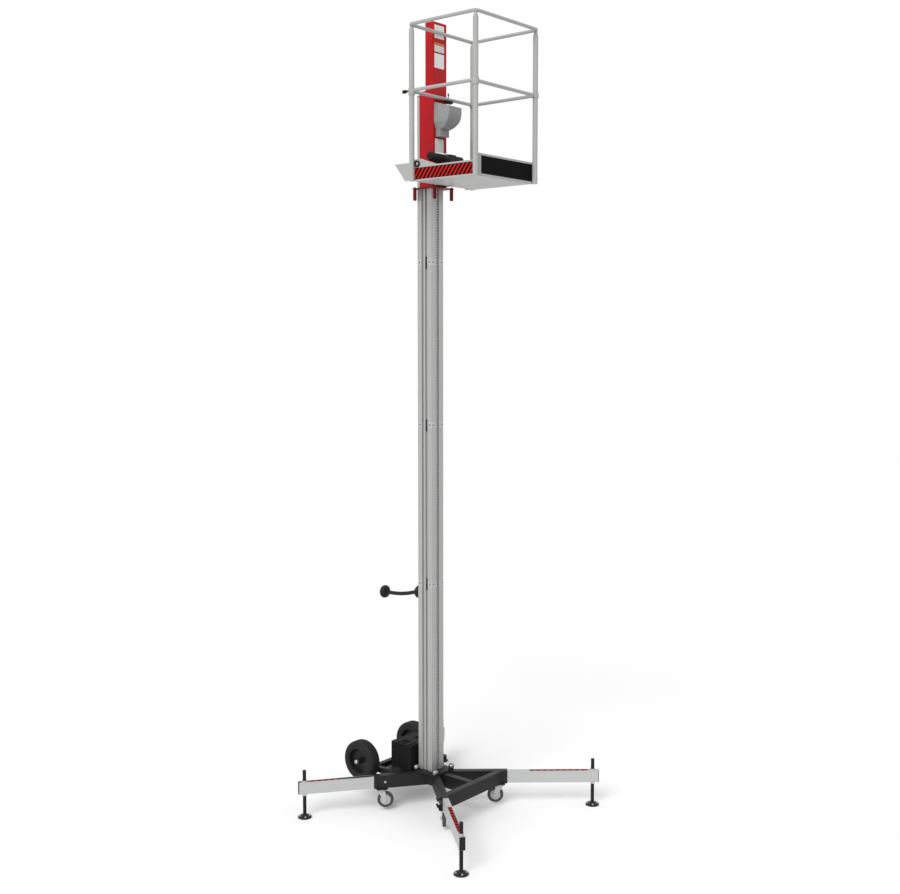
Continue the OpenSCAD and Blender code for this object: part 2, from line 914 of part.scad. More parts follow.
// Handle for tilting the lift on its transport wheels: boss, bowed bar and round grip
module tilt_handle() {
    bar_start = mast_y + mast_half + handle_boss_len + shield_t - 4;
    bar_end = mast_y + mast_half + handle_reach - grip_t / 2 + 4;
    run = bar_end - bar_start;
    chord = norm([run, handle_drop]);
    slope = atan2(-handle_drop, run);
    bow_r = (chord * chord / 4 + handle_bow * handle_bow) / (2 * handle_bow);
    sweep = 2 * asin(chord / 2 / bow_r);
    color(black) {
        translate([0, mast_y + mast_half, handle_z])
            rotate([-90, 0, 0])
                cylinder(d = handle_boss_d, h = handle_boss_len);
        translate([0, mast_y + mast_half + handle_boss_len + shield_t / 2, handle_z])
            rotate([90, 0, 0])
                rotate_extrude($fn = 64)
                    grip_profile(shield_t);
        translate([0, bar_start, handle_z])
            rotate([slope, 0, 0])
                translate([0, chord / 2, bow_r - handle_bow])
                    rotate([0, 90, 0])
                        rotate(-sweep / 2)
                            rotate_extrude(angle = sweep, $fn = 96)
                                translate([bow_r, 0])
                                    circle(d = handle_d);
        translate([0, mast_y + mast_half + handle_reach, handle_z - handle_drop])
            rotate([90, 0, 0])
                rotate_extrude($fn = 64)
                    grip_profile(grip_t);
    }
}

// Half section of the round grip and of the shield: flat faces with rounded rims
module grip_profile(t) {
    difference() {
        translate([0, -t / 2])
            square([grip_d / 2, t]);
        for (m = [0, 1])
            mirror([0, m])
                translate([grip_d / 2 - grip_round, t / 2 - grip_round])
                    difference() {
                        square(grip_round + 1);
                        circle(grip_round);
                    }
    }
}

// Battery
battery_y = hub_y + plate_w / 2 + battery_gap;
battery_z = arm_top + shelf_t;

module battery_shelf() {
    color(black)
        translate([0, 0, arm_top])
            linear_extrude(shelf_t) {
                translate([-battery_w / 2, battery_y])
                    square([battery_w, battery_d]);
                translate([-rail_x - rail_w / 2, battery_y + battery_d - strap_w])
                    square([2 * rail_x + rail_w, strap_w]);
            }
}

module battery_box() {
    slot = [16, 3];
    lid_t = 14;
    color(black)
        difference() {
            translate([0, battery_y + battery_d / 2, battery_z])
                linear_extrude(battery_h)
                    round_square(battery_w, battery_d, 8);
            for (s = [-1, 1])
                translate([s * battery_w / 4, battery_y + battery_d / 2, battery_z + battery_h - lid_t])
                    linear_extrude(lid_t + 1)
                        round_square(70, 26, 12);
            translate([0, battery_y + battery_d / 2, battery_z + battery_h - 40])
                linear_extrude(3)
                    difference() {
                        square([battery_w + 2, battery_d + 2], center = true);
                        round_square(battery_w - 5, battery_d - 5, 6);
                    }
        }
}

// Climbing column
module column_profile(depth) {
    bend = 6;
    difference() {
        intersection() {
            translate([0, depth])
                round_square(2 * column_half, 2 * depth, bend);
            translate([-column_half, 0])
                square([2 * column_half, depth]);
        }
        translate([0, depth + sheet_t])
            round_square(2 * (column_half - sheet_t), 2 * depth, bend - sheet_t);
    }
}

module climbing_column() {
    window_w = 70;
    window_h = 110;
    color(red)
        difference() {
            translate([0, column_front, column_z])
                union() {
                    linear_extrude(wing_h)
                        column_profile(wing_deep);
                    linear_extrude(column_h)
                        column_profile(wing_shallow);
                }
            translate([-window_w / 2, column_front - 1, column_z + cover_rise + 90])
                cube([window_w, sheet_t + 2, window_h]);
        }
}

module bottom_flange() {
    opening = mast_w + 2 * climb_gap;
    color(red) {
        translate([0, 0, flange_z])
            linear_extrude(flange_t)
                difference() {
                    translate([0, hub_y])
                        round_square(flange_w, flange_w, 10);
                    translate([-opening / 2, mast_y - opening / 2])
                        square(opening);
                    translate([-flange_slot / 2, mast_y])
                        square([flange_slot, flange_w]);
                }
        for (x = [-1, 1], y = [-1, 1])
            translate([x * dock_half, hub_y + y * dock_half, flange_z - prong_len])
                rotate_extrude()
                    polygon([
                        [0, 0],
                        [prong_d / 2 - 4, 0],
                        [prong_d / 2, 6],
                        [prong_d / 2, prong_len],
                        [0, prong_len]]);
    }
}

// Low-friction pads between the column and the mast: on the side lands and on the front lands
module guide_pads() {
    side_t = climb_gap - guide_gap;
    front_t = column_lead - sheet_t - guide_gap;
    land_y = mast_y - mast_half + guide_w / 2 + 4;
    land_x = mast_half - guide_w / 2 - 6;
    color("#e6e6e0")
        for (z = [column_z + 12, column_z + wing_h - guide_h - 70], s = [-1, 1]) {
            translate([s * (mast_half + guide_gap + side_t / 2), land_y, z + guide_h / 2])
                cube([side_t, guide_w, guide_h], center = true);
            translate([s * land_x, mast_y - mast_half - guide_gap - front_t / 2, z + guide_h / 2])
                cube([guide_w, front_t, guide_h], center = true);
        }
}

// Side outline of the drive cover: +x to the rear, +y up from the cover's underside
module cover_side(inset) {
    front = inset - cover_d;
    intersection() {
        union() {
            translate([front, cover_belly])
                square([cover_d, cover_h]);
            translate([inset - cover_foot_d, inset])
                square([cover_foot_d, cover_h]);
            intersection() {
                translate([front, 0])
                    square([cover_d, cover_belly + 1]);
                translate([cover_curve_r - cover_d, cover_belly])
                    circle(cover_curve_r - inset, $fn = 96);
            }
        }
        polygon([
            [0, 0],
            [-cover_d, 0],
            [-cover_d, cover_h - cover_drop - inset],
            [0, cover_h - inset]]);
    }
}

// Front outline of the drive cover: its sides draw in below the crease
module cover_front(inset) {
    half = cover_w / 2 - inset;
    foot = cover_foot_w / 2 - inset;
    polygon([
        [-foot, 0],
        [foot, 0],
        [foot, cover_foot_h],
        [half, cover_crease],
        [half, cover_h],
        [-half, cover_h],
        [-half, cover_crease],
        [-foot, cover_foot_h]]);
}

module cover_solid(inset) {
    intersection() {
        translate([-cover_w / 2, 0, 0])
            rotate([90, 0, 90])
                linear_extrude(cover_w)
                    cover_side(inset);
        translate([0, 1, 0])
            rotate([90, 0, 0])
                linear_extrude(cover_d + 2)
                    cover_front(inset);
    }
}

module drive_cover() {
    color(silver)
        translate([0, column_front, column_z + cover_rise])
            difference() {
                cover_solid(0);
                translate([0, 0.1, 0])
                    cover_solid(cover_wall);
            }
}

// Drive motor across the column, with its gearbox and brake; a saddle holds it to the column
module power_pack() {
    y = column_front - motor_lead;
    z = floor_z + toe_h + motor_gap + motor_d / 2;
    r = motor_d / 2;
    gear_start = motor_len - motor_reach;
    gear_h = motor_d - 4;
    saddle_w = 60;
    color(black) {
        translate([-motor_reach, y, z])
            rotate([0, 90, 0])
                rotate_extrude($fn = 64)
                    difference() {
                        square([r, motor_len]);
                        translate([r - motor_round, 0])
                            difference() {
                                translate([0, -1])
                                    square([motor_round + 1, motor_round + 1]);
                                translate([0, motor_round])
                                    circle(motor_round);
                            }
                    }
        translate([gear_start, y - gear_h / 2, z - gear_h / 2])
            rotate([0, 90, 0])
                translate([-gear_h, 0, 0])
                    linear_extrude(gearbox_w)
                        translate([gear_h / 2, gear_h / 2])
                            round_square(gear_h, gear_h, 8);
        translate([gear_start + gearbox_w, y, z])
            rotate([0, 90, 0])
                cylinder(d = brake_d, h = brake_reach - gear_start - gearbox_w);
        translate([-saddle_w / 2, y, z - gear_h / 2 + 6])
            cube([saddle_w, motor_lead, gear_h - 12]);
    }
}

// Platform
module platform_floor() {
    color(silver)
        translate([-tray_x + toe_t, tray_front + toe_t, floor_z])
            cube([2 * (tray_x - toe_t), tray_rear - tray_front - 2 * toe_t, floor_t]);
}

module toe_boards() {
    color(silver)
        difference() {
            translate([-tray_x, tray_front, floor_z])
                cube([2 * tray_x, tray_rear - tray_front, toe_h]);
            translate([-tray_x + toe_t, tray_front + toe_t, floor_z - 1])
                cube([2 * (tray_x - toe_t), tray_rear - tray_front - 2 * toe_t, toe_h + 2]);
            entry_cutout();
        }
    // Brackets that hang the platform on the column
    color(silver)
        for (s = [-1, 1])
            translate([s * (column_half - 14) - 6, tray_rear, floor_z])
                cube([12, column_front - tray_rear, toe_h - 12]);
}

// Clears the upper part of the entrance toe board, from its slope to the front board
module entry_cutout() {
    translate([-tray_x - 1, tray_rear, floor_z])
        rotate([90, 0, 90])
            linear_extrude(toe_t + 2)
                polygon([
                    [-entry_toe_full, toe_h + 1],
                    [-entry_toe_full, toe_h],
                    [-entry_toe_slope, entry_toe_h],
                    [tray_front + toe_t - tray_rear, entry_toe_h],
                    [tray_front + toe_t - tray_rear, toe_h + 1]]);
}

module at_posts() {
    for (x = [-1, 1], y = [post_front_y, post_rear_y])
        translate([x * post_x, y, floor_z])
            children();
}

// Corner posts; the two beside the entrance carry the stop rings of its bar
module corner_posts() {
    ring_h = 14;
    neck_low = top_rail_h - 40;
    neck_high = top_rail_h - rail_d / 2 - rail_seat;
    color(silver) {
        at_posts() {
            cylinder(d = post_d, h = neck_low);
            translate([0, 0, neck_low])
                cylinder(d1 = post_d, d2 = rail_d - 3, h = neck_high - neck_low);
        }
        for (y = [post_front_y, post_rear_y])
            translate([-post_x, y, stop_z - ring_h])
                cylinder(r = post_d / 2 + collar_wall, h = ring_h);
    }
}

// Closed loop of tube with bent corners
rail_half_x = post_x + top_rail_out;
rail_half_y = post_span_y / 2 + top_rail_out;

module rail_loop(z, d) {
    x = rail_half_x - rail_bend;
    y = rail_half_y - rail_bend;
    translate([0, post_mid_y, z])
        for (s = [-1, 1]) {
            translate([s * rail_half_x, y, 0])
                rotate([90, 0, 0])
                    cylinder(d = d, h = 2 * y);
            translate([-x, s * rail_half_y, 0])
                rotate([0, 90, 0])
                    cylinder(d = d, h = 2 * x);
        }
    rail_bends(z, d);
}

module rail_bends(z, d) {
    x = rail_half_x - rail_bend;
    y = rail_half_y - rail_bend;
    for (a = [0:3])
        translate([(a == 0 || a == 3 ? 1 : -1) * x, post_mid_y + (a < 2 ? 1 : -1) * y, z])
            rotate(a * 90)
                rotate_extrude(angle = 90)
                    translate([rail_bend, 0])
                        circle(d = d);
}

module top_rail() {
    color(silver)
        rail_loop(top_rail_z, rail_d);
}

// Fixed middle rails across the front and the back and along the right, with their collars
module mid_rails() {
    post_gap = 0.05;
    left_x = -post_x + post_d / 2 + post_gap;
    color(silver) {
        difference() {
            union() {
                for (y = [post_front_y, post_rear_y])
                    translate([left_x, y, mid_rail_z])
                        rotate([0, 90, 0])
                            cylinder(d = rail_d, h = post_x - left_x);
                translate([post_x, post_rear_y, mid_rail_z])
                    rotate([90, 0, 0])
                        cylinder(d = rail_d, h = post_span_y);
                for (y = [post_front_y, post_rear_y])
                    translate([post_x, y, mid_rail_z - collar_h / 2])
                        cylinder(r = post_d / 2 + collar_wall, h = collar_h);
            }
            for (y = [post_front_y, post_rear_y])
                translate([post_x, y, mid_rail_z - collar_h])
                    cylinder(d = post_d + 2 * post_gap, h = 2 * collar_h);
        }
        for (s = [-1, 1])
            translate([s * (column_half - 14) - 6, post_rear_y, mid_rail_z - 6])
                cube([12, column_front - post_rear_y, 12]);
    }
}

// Round latch with a ring on the left toe board
module ring_latch() {
    latch_lead = 42;
    latch_drop = 34;
    color(black)
        translate([-tray_x, post_rear_y - latch_lead, floor_z + toe_h - latch_drop])
            rotate([0, -90, 0])
                difference() {
                    cylinder(d = 46, h = 14);
                    translate([0, 0, 6])
                        cylinder(d = 30, h = 10);
                }
}

// Plates that run back from the rear corners, with a slanted rear edge
module tail_plates() {
    front = post_rear_y + post_d / 2;
    low = 6;
    color(silver)
        for (s = [-1, 1])
            translate([s * post_x - tail_t / 2, 0, floor_z])
                rotate([90, 0, 90])
                    linear_extrude(tail_t)
                        polygon([
                            [front, low],
                            [front + tail_foot, low],
                            [front + tail_reach, low + tail_h],
                            [front, low + tail_h]]);
}

// Control block hung under the rear middle rail, with its lever standing on the rail
module platform_controls() {
    block = [70, 34, 14];
    switch_box = [38, 26, 10];
    lever_x = 60;
    lever_h = 32;
    block_z = mid_rail_z - rail_d / 2 - block[2];
    color(black) {
        translate([lever_x - block[0] * 0.6, post_rear_y - block[1] + 8, block_z])
            cube(block);
        translate([lever_x - block[0] * 0.45, post_rear_y - 35, block_z - switch_box[2]])
            cube(switch_box);
        translate([lever_x, post_rear_y, mid_rail_z + rail_d / 2]) {
            cylinder(d = 8, h = lever_h);
            translate([0, 0, lever_h - 14])
                cylinder(d = 12, h = 14);
        }
    }
}

// Sliding bar across the entrance, on collars that are open where the fixed rails meet the posts
module entry_bar() {
    ring_r = post_d / 2 + collar_gap + collar_wall;
    slot_w = rail_d + 4;
    bar_start = post_front_y + post_d / 2 + collar_gap + 1;
    bar_end = post_rear_y - post_d / 2 - collar_gap - 1;
    color(silver)
        difference() {
            union() {
                translate([-post_x, bar_end, bar_z])
                    rotate([90, 0, 0])
                        cylinder(d = rail_d, h = bar_end - bar_start);
                for (y = [post_front_y, post_rear_y])
                    translate([-post_x, y, stop_z + rest_gap])
                        cylinder(r = ring_r, h = collar_h);
            }
            for (y = [post_front_y, post_rear_y]) {
                translate([-post_x, y, stop_z - 1])
                    cylinder(d = post_d + 2 * collar_gap, h = 3 * collar_h);
                translate([-post_x, y - slot_w / 2, stop_z - 1])
                    cube([ring_r + 1, slot_w, 3 * collar_h]);
            }
        }
}

// Spring plunger that locks the entry bar's rear collar
module bar_plunger() {
    neck_len = 46;
    color(black)
        translate([-post_x, post_rear_y + post_d / 2 + collar_gap + collar_wall, stop_z + collar_h / 2])
            rotate([-90, 0, 0]) {
                cylinder(d = 14, h = neck_len);
                translate([0, 0, neck_len - 14])
                    cylinder(d = 26, h = 24);
            }
}

hub_plate();
docking_domes();
for (c = CORNERS) {
    arm(c[0]);
    leg(c[0]);
    leg_cap(c[0]);
    jack(c[0]);
    fork(c[0]);
    caster(c[0]);
}
cross_beam();
wheel_frame();
caster_plates();
battery_shelf();
battery_box();
for (i = [0:mast_sections - 1])
    mast_section(i);
mast_cap();
mast_rack();
mast_latches();
tilt_handle();
lock_knobs();
tyre(-1);  // tyre_left
tyre(1);  // tyre_right
rim(-1);  // rim_left
rim(1);  // rim_right
climbing_column();
bottom_flange();
guide_pads();
drive_cover();
platform_floor();
toe_boards();
corner_posts();
top_rail();
mid_rails();
ring_latch();
tail_plates();
platform_controls();
power_pack();
entry_bar();
bar_plunger();
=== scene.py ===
# %% [markdown]
# # A vertical mast lift
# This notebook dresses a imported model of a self-climbing work platform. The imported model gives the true
# place and size of every solid, so nothing is moved or resized here: each cell either gives a solid a finish,
# or models a detail that sits on it. We begin by loading the model and keeping its outer box.

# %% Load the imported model
import math

import bmesh
import bpy
from mathutils import Matrix, Vector


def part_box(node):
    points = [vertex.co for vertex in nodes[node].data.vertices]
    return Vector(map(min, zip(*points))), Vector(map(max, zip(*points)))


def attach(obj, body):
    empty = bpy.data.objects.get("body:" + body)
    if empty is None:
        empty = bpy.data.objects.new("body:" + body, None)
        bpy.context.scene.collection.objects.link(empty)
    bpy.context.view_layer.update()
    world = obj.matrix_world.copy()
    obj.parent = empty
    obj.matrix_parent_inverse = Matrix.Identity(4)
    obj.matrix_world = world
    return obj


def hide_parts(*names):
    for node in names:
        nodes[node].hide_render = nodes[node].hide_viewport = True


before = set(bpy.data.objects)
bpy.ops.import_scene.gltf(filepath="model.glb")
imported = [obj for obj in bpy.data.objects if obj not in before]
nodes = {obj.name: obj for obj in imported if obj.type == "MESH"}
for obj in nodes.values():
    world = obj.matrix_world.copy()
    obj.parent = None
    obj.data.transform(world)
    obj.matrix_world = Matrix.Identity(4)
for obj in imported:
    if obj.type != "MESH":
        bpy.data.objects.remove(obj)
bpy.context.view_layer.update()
CORNERS = ("front_left", "front_right", "rear_left", "rear_right")
MM = 0.001

# %% [markdown]
# Colours are written as the hex values a designer would pick from a screen. Blender's shaders work with linear
# light, so one function turns each hex value into linear numbers.

# %% Colours


def linear(hex_colour):
    """Turns an sRGB hex colour such as '#B01C24' into linear RGBA."""
    values = [int(hex_colour[i:i + 2], 16) / 255 for i in (1, 3, 5)]
    return [v / 12.92 if v <= 0.04045 else ((v + 0.055) / 1.055) ** 2.4 for v in values] + [1.0]


# %% [markdown]
# Materials are node trees. One helper adds a node, sets its values and joins its inputs, so that each material
# below reads as a short list of what it is made of. A second one starts a material from a Principled shader,
# whose uniform values are set on its own sockets.

# %% Node helpers


def add_node(tree, kind, settings=None, links=None):
    """Adds a node; settings name properties or inputs, links join inputs to other nodes' outputs."""
    node = tree.nodes.new(kind)
    for key, value in (settings or {}).items():
        if isinstance(key, int) or key in node.inputs:
            node.inputs[key].default_value = value
        else:
            setattr(node, key, value)
    for key, output in (links or {}).items():
        tree.links.new(output, node.inputs[key])
    return node


def start_material(name, colour, metallic, roughness, specular=0.2):
    """A new material with its Principled shader; returns both, and the Object coordinates."""
    material = bpy.data.materials.new(name)
    material.use_nodes = True
    tree = material.node_tree
    shader = tree.nodes["Principled BSDF"]
    shader.inputs["Base Color"].default_value = linear(colour)
    shader.inputs["Metallic"].default_value = metallic
    shader.inputs["Roughness"].default_value = roughness
    shader.inputs["Specular IOR Level"].default_value = specular
    place = add_node(tree, "ShaderNodeTexCoord").outputs["Object"]
    return material, tree, shader, place


def per_mm(size_mm):
    """The scale that gives a noise or wave pattern features of this size."""
    return 1 / (size_mm * MM)


# %% [markdown]
# ## Powder coat
# The base, the climbing column and the platform are powder coated steel. The powder melts and flows into a
# skin with a faint orange peel, so the gloss breaks up softly. The real peel is about a millimetre wide; here it
# is drawn a little coarser so that it shows. A second, much larger noise shifts the roughness, as handling does.

# %% Powder coat


def powder_coat(name, colour, roughness, peel=0.05, shade=0.06):
    """Powder coated steel with orange peel and a slight change of tone over the piece."""
    material, tree, shader, place = start_material(name, colour, 0.0, roughness)
    fine = add_node(tree, "ShaderNodeTexNoise", {"Scale": per_mm(3), "Detail": 2.0}, {"Vector": place})
    broad = add_node(tree, "ShaderNodeTexNoise", {"Scale": per_mm(180), "Detail": 3.0}, {"Vector": place})
    dull = add_node(
        tree, "ShaderNodeMapRange",
        {"From Min": 0.3, "From Max": 0.7, "To Min": roughness - 0.06, "To Max": roughness + 0.08},
        {"Value": broad.outputs["Fac"]})
    tint = add_node(
        tree, "ShaderNodeMapRange",
        {"From Min": 0.3, "From Max": 0.7, "To Min": 1 - shade, "To Max": 1 + shade / 2},
        {"Value": broad.outputs["Fac"]})
    tone = add_node(
        tree, "ShaderNodeHueSaturation", {"Color": linear(colour)}, {"Value": tint.outputs["Result"]})
    bump = add_node(
        tree, "ShaderNodeBump", {"Strength": peel, "Distance": 0.4 * MM}, {"Height": fine.outputs["Fac"]})
    tree.links.new(tone.outputs["Color"], shader.inputs["Base Color"])
    tree.links.new(dull.outputs["Result"], shader.inputs["Roughness"])
    tree.links.new(bump.outputs["Normal"], shader.inputs["Normal"])
    return material


black_steel = powder_coat("Steel, black powder coat", "#212122", 0.46, peel=0.12)
red_steel = powder_coat("Steel, red powder coat", "#B00E1A", 0.40, peel=0.06)
# The flange under the platform is painted in the column's red, darkened here as painted shade for the platform's
# shadow.
painted_shade_red = powder_coat("Steel, red powder coat with painted shade", "#6E0A18", 0.44, peel=0.06)
grey_steel = powder_coat("Steel, light grey powder coat", "#A8A8A7", 0.40, peel=0.06, shade=0.03)
cover_steel = powder_coat("Steel, silver grey powder coat", "#929392", 0.42, peel=0.06, shade=0.03)

# %% [markdown]
# ## Extruded aluminium
# The mast and the legs are extruded through a die, which leaves fine lines along the length; the mast is then
# anodised to a satin grey. A noise stretched along the piece draws the lines. The lines of a leg run along the
# leg, so its coordinates are first turned by the leg's angle.

# %% Extruded aluminium


def extruded(name, colour, roughness, along, turn=0.0, metallic=0.55):
    """Extruded aluminium with die lines; along is the axis of the lines after the turn about Z."""
    material, tree, shader, place = start_material(name, colour, metallic, roughness)
    across = per_mm(4)
    lengthwise = per_mm(400)
    scale = [lengthwise if axis == along else across for axis in "XYZ"]
    turned = add_node(tree, "ShaderNodeMapping", {"Rotation": (0, 0, turn)}, {"Vector": place})
    stretched = add_node(tree, "ShaderNodeMapping", {"Scale": scale}, {"Vector": turned.outputs["Vector"]})
    lines = add_node(
        tree, "ShaderNodeTexNoise", {"Scale": 1.0, "Detail": 3.0}, {"Vector": stretched.outputs["Vector"]})
    dull = add_node(
        tree, "ShaderNodeMapRange",
        {"From Min": 0.3, "From Max": 0.7, "To Min": roughness - 0.07, "To Max": roughness + 0.09},
        {"Value": lines.outputs["Fac"]})
    tint = add_node(
        tree, "ShaderNodeMapRange",
        {"From Min": 0.3, "From Max": 0.7, "To Min": 0.94, "To Max": 1.04},
        {"Value": lines.outputs["Fac"]})
    tone = add_node(
        tree, "ShaderNodeHueSaturation", {"Color": linear(colour)}, {"Value": tint.outputs["Result"]})
    bump = add_node(
        tree, "ShaderNodeBump", {"Strength": 0.06, "Distance": 0.3 * MM}, {"Height": lines.outputs["Fac"]})
    tree.links.new(tone.outputs["Color"], shader.inputs["Base Color"])
    tree.links.new(dull.outputs["Result"], shader.inputs["Roughness"])
    tree.links.new(bump.outputs["Normal"], shader.inputs["Normal"])
    return material


mast_metal = extruded("Aluminium, extruded and anodised", "#B1B1B0", 0.42, "Z")
band_metal = extruded("Aluminium, machined joint", "#BBBCBB", 0.4, "X")

# %% [markdown]
# ## Plated steel, plastic and rubber
# Zinc plating is a thin bright skin with a slight cloudiness; the docking domes are polished. Moulded plastic
# takes the fine grain of its mould. Rubber is the dullest of all and has no metal shine.

# %% Plated steel, plastic and rubber


def grained(name, colour, metallic, roughness, grain_mm, strength, spread=0.05, specular=0.2):
    """A surface with one fine grain that breaks up its gloss."""
    material, tree, shader, place = start_material(name, colour, metallic, roughness, specular)
    grain = add_node(tree, "ShaderNodeTexNoise", {"Scale": per_mm(grain_mm), "Detail": 3.0}, {"Vector": place})
    dull = add_node(
        tree, "ShaderNodeMapRange",
        {"From Min": 0.3, "From Max": 0.7, "To Min": roughness - spread, "To Max": roughness + spread},
        {"Value": grain.outputs["Fac"]})
    bump = add_node(
        tree, "ShaderNodeBump", {"Strength": strength, "Distance": 0.3 * MM}, {"Height": grain.outputs["Fac"]})
    tree.links.new(dull.outputs["Result"], shader.inputs["Roughness"])
    tree.links.new(bump.outputs["Normal"], shader.inputs["Normal"])
    return material


zinc = grained("Steel, zinc plated", "#BDBEBE", 0.75, 0.34, 9, 0.05)
dark_zinc = grained("Steel, oiled", "#5E5F60", 0.7, 0.42, 6, 0.08)
polished = grained("Steel, polished and plated", "#8E8E8C", 0.85, 0.22, 20, 0.01, spread=0.03)
black_plastic = grained("Nylon, black, moulded", "#1D1D1D", 0.0, 0.48, 1.6, 0.16)
pale_plastic = grained("Polyethylene, natural, machined", "#DEDED8", 0.0, 0.45, 4, 0.05)
grey_plastic = grained("Polypropylene, light grey, moulded", "#AFAFAB", 0.0, 0.42, 2, 0.08)
battery_plastic = grained("Polypropylene, black, moulded", "#1A1A1A", 0.0, 0.6, 1.6, 0.12, specular=0.08)
tyre_rubber = grained("Rubber, black, moulded", "#202020", 0.0, 0.68, 2.2, 0.22)
dark_rubber = grained("Rubber, dark grey, moulded", "#454544", 0.0, 0.6, 2, 0.15)

# %% [markdown]
# ## Hazard tape and plates
# The tape is red and black vinyl, cut in slanting stripes 37 to 50 mm apart. The stripes follow the strip, so
# they read its own UV map, whose units are metres along and across the strip. The plates are bare vinyl.

# %% Hazard tape and plates


def hazard_tape(place, pitch_mm, slant_share):
    """Red and black stripes in UV space; slant_share is how far they lean for each unit across."""
    name = f"Vinyl, red and black stripes, {place}"
    material, tree, shader, _ = start_material(name, "#BC1E1A", 0.0, 0.5, 0.05)
    uv = add_node(tree, "ShaderNodeUVMap", {"uv_map": "strip"})
    parts = add_node(tree, "ShaderNodeSeparateXYZ", None, {"Vector": uv.outputs["UV"]})
    slant = add_node(
        tree, "ShaderNodeMath", {"operation": "MULTIPLY_ADD", 1: -slant_share},
        {0: parts.outputs["Y"], 2: parts.outputs["X"]})
    turns = add_node(
        tree, "ShaderNodeMath", {"operation": "MULTIPLY", 1: per_mm(pitch_mm)}, {0: slant.outputs["Value"]})
    part = add_node(tree, "ShaderNodeMath", {"operation": "FRACT"}, {0: turns.outputs["Value"]})
    is_red = add_node(
        tree, "ShaderNodeMath", {"operation": "GREATER_THAN", 1: 0.56}, {0: part.outputs["Value"]})
    colour = add_node(
        tree, "ShaderNodeMix",
        {"data_type": "RGBA", 6: linear("#120C0D"), 7: linear("#BC1E1A")}, {0: is_red.outputs["Value"]})
    tree.links.new(colour.outputs[2], shader.inputs["Base Color"])
    return material


leg_vinyl = hazard_tape("legs", 50, 0.35)
board_vinyl = hazard_tape("toe board", 37, 0.75)
black_vinyl = grained("Vinyl, gloss black", "#0A090A", 0.0, 0.5, 30, 0.01, specular=0.04)
dark_vinyl = grained("Vinyl, matt black", "#2A2A2A", 0.0, 0.6, 30, 0.02)
white_vinyl = grained("Vinyl, white", "#E4E4E2", 0.0, 0.36, 30, 0.01)
grey_vinyl = grained("Vinyl, pale grey", "#CFD0D0", 0.0, 0.36, 30, 0.01)
amber_vinyl = grained("Vinyl, orange", "#C77A34", 0.0, 0.36, 30, 0.01)

# %% [markdown]
# The solids keep their shape, and each takes its finish in its own material slots. A table from finish to the
# solids' names is easier to check than a list of assignments.

# %% Finish the solids


def leg_metal(corner):
    """The leg's die lines run along the leg, from the hub to its foot."""
    low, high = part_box(f"leg_{corner}")
    run = (high[0] - low[0], high[1] - low[1])
    angle = math.atan2(run[1], run[0])
    falls = corner in ("front_right", "rear_left")
    return extruded(f"Aluminium, extruded, {corner} leg", "#BFC0C0", 0.4, "X", angle if falls else -angle)


FINISHES = (
    (black_steel, ("hub_plate", "arm_front_left", "arm_front_right", "arm_rear_left", "arm_rear_right",
                   "cross_beam", "wheel_frame", "battery_shelf", "caster_plates", "rim_left", "rim_right")),
    (red_steel, ("climbing_column",)),
    # painted shade: the flange takes the darker red for the shadow under the platform
    (painted_shade_red, ("bottom_flange",)),
    (grey_steel, ("platform_floor", "toe_boards", "corner_posts", "top_rail", "mid_rails", "tail_plates",
                  "entry_bar")),
    (cover_steel, ("drive_cover",)),
    (mast_metal, tuple(f"mast_section_{i}" for i in (1, 2, 3, 4))),
    (zinc, tuple(f"fork_{c}" for c in CORNERS) + ("mast_rack",)),
    (polished, ("docking_domes",)),
    (pale_plastic, ("guide_pads",)),
    (battery_plastic, ("battery_box",)),
    (black_plastic, ("mast_cap", "mast_latches", "tilt_handle", "lock_knobs", "ring_latch",
                     "platform_controls", "power_pack", "bar_plunger")
     + tuple(f"leg_cap_{c}" for c in CORNERS)),
    (black_steel, tuple(f"jack_{c}" for c in CORNERS)),
    (tyre_rubber, ("tyre_left", "tyre_right")),
    (dark_rubber, tuple(f"caster_{c}" for c in CORNERS)),
)


def dress(node, material):
    """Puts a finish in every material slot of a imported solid."""
    mesh = nodes[node].data
    if not mesh.materials:
        mesh.materials.append(material)
    for index in range(len(mesh.materials)):
        mesh.materials[index] = material


for material, names in FINISHES:
    for name in names:
        dress(name, material)
for corner in CORNERS:
    dress(f"leg_{corner}", leg_metal(corner))
print("finished", sum(len(names) for _, names in FINISHES) + len(CORNERS), "solids")

# %% [markdown]
# ## Modelling helpers
# Details are made with bmesh operators: a short profile is spun round an axis for what a lathe would turn, an
# outline is extruded for what is cut from sheet, and a bolt is two cones and a washer. Each finished piece keeps
# its place in its mesh and rides on the body that carries it.

# %% Modelling helpers
ALL_ROUND = 2 * math.pi


def finish_piece(name, bm, body, slot, *materials):
    """Turns a bmesh into a piece with smooth faces and crisp edges."""
    bmesh.ops.remove_doubles(bm, verts=bm.verts, dist=0.00001)
    bmesh.ops.recalc_face_normals(bm, faces=bm.faces)
    mesh = bpy.data.meshes.new(name)
    bm.to_mesh(mesh)
    bm.free()
    mesh.shade_smooth()
    mesh.set_sharp_from_angle(angle=math.radians(32))
    for material in materials:
        mesh.materials.append(material)
    piece = bpy.data.objects.new(name, mesh)
    bpy.context.scene.collection.objects.link(piece)
    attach(piece, body)
    return piece


def facing(place, axis):
    """A matrix that puts a shape made along +Z at a place, with +Z along axis."""
    turn = Vector(axis).normalized().to_track_quat("Z", "Y").to_matrix().to_4x4()
    return Matrix.Translation(place) @ turn


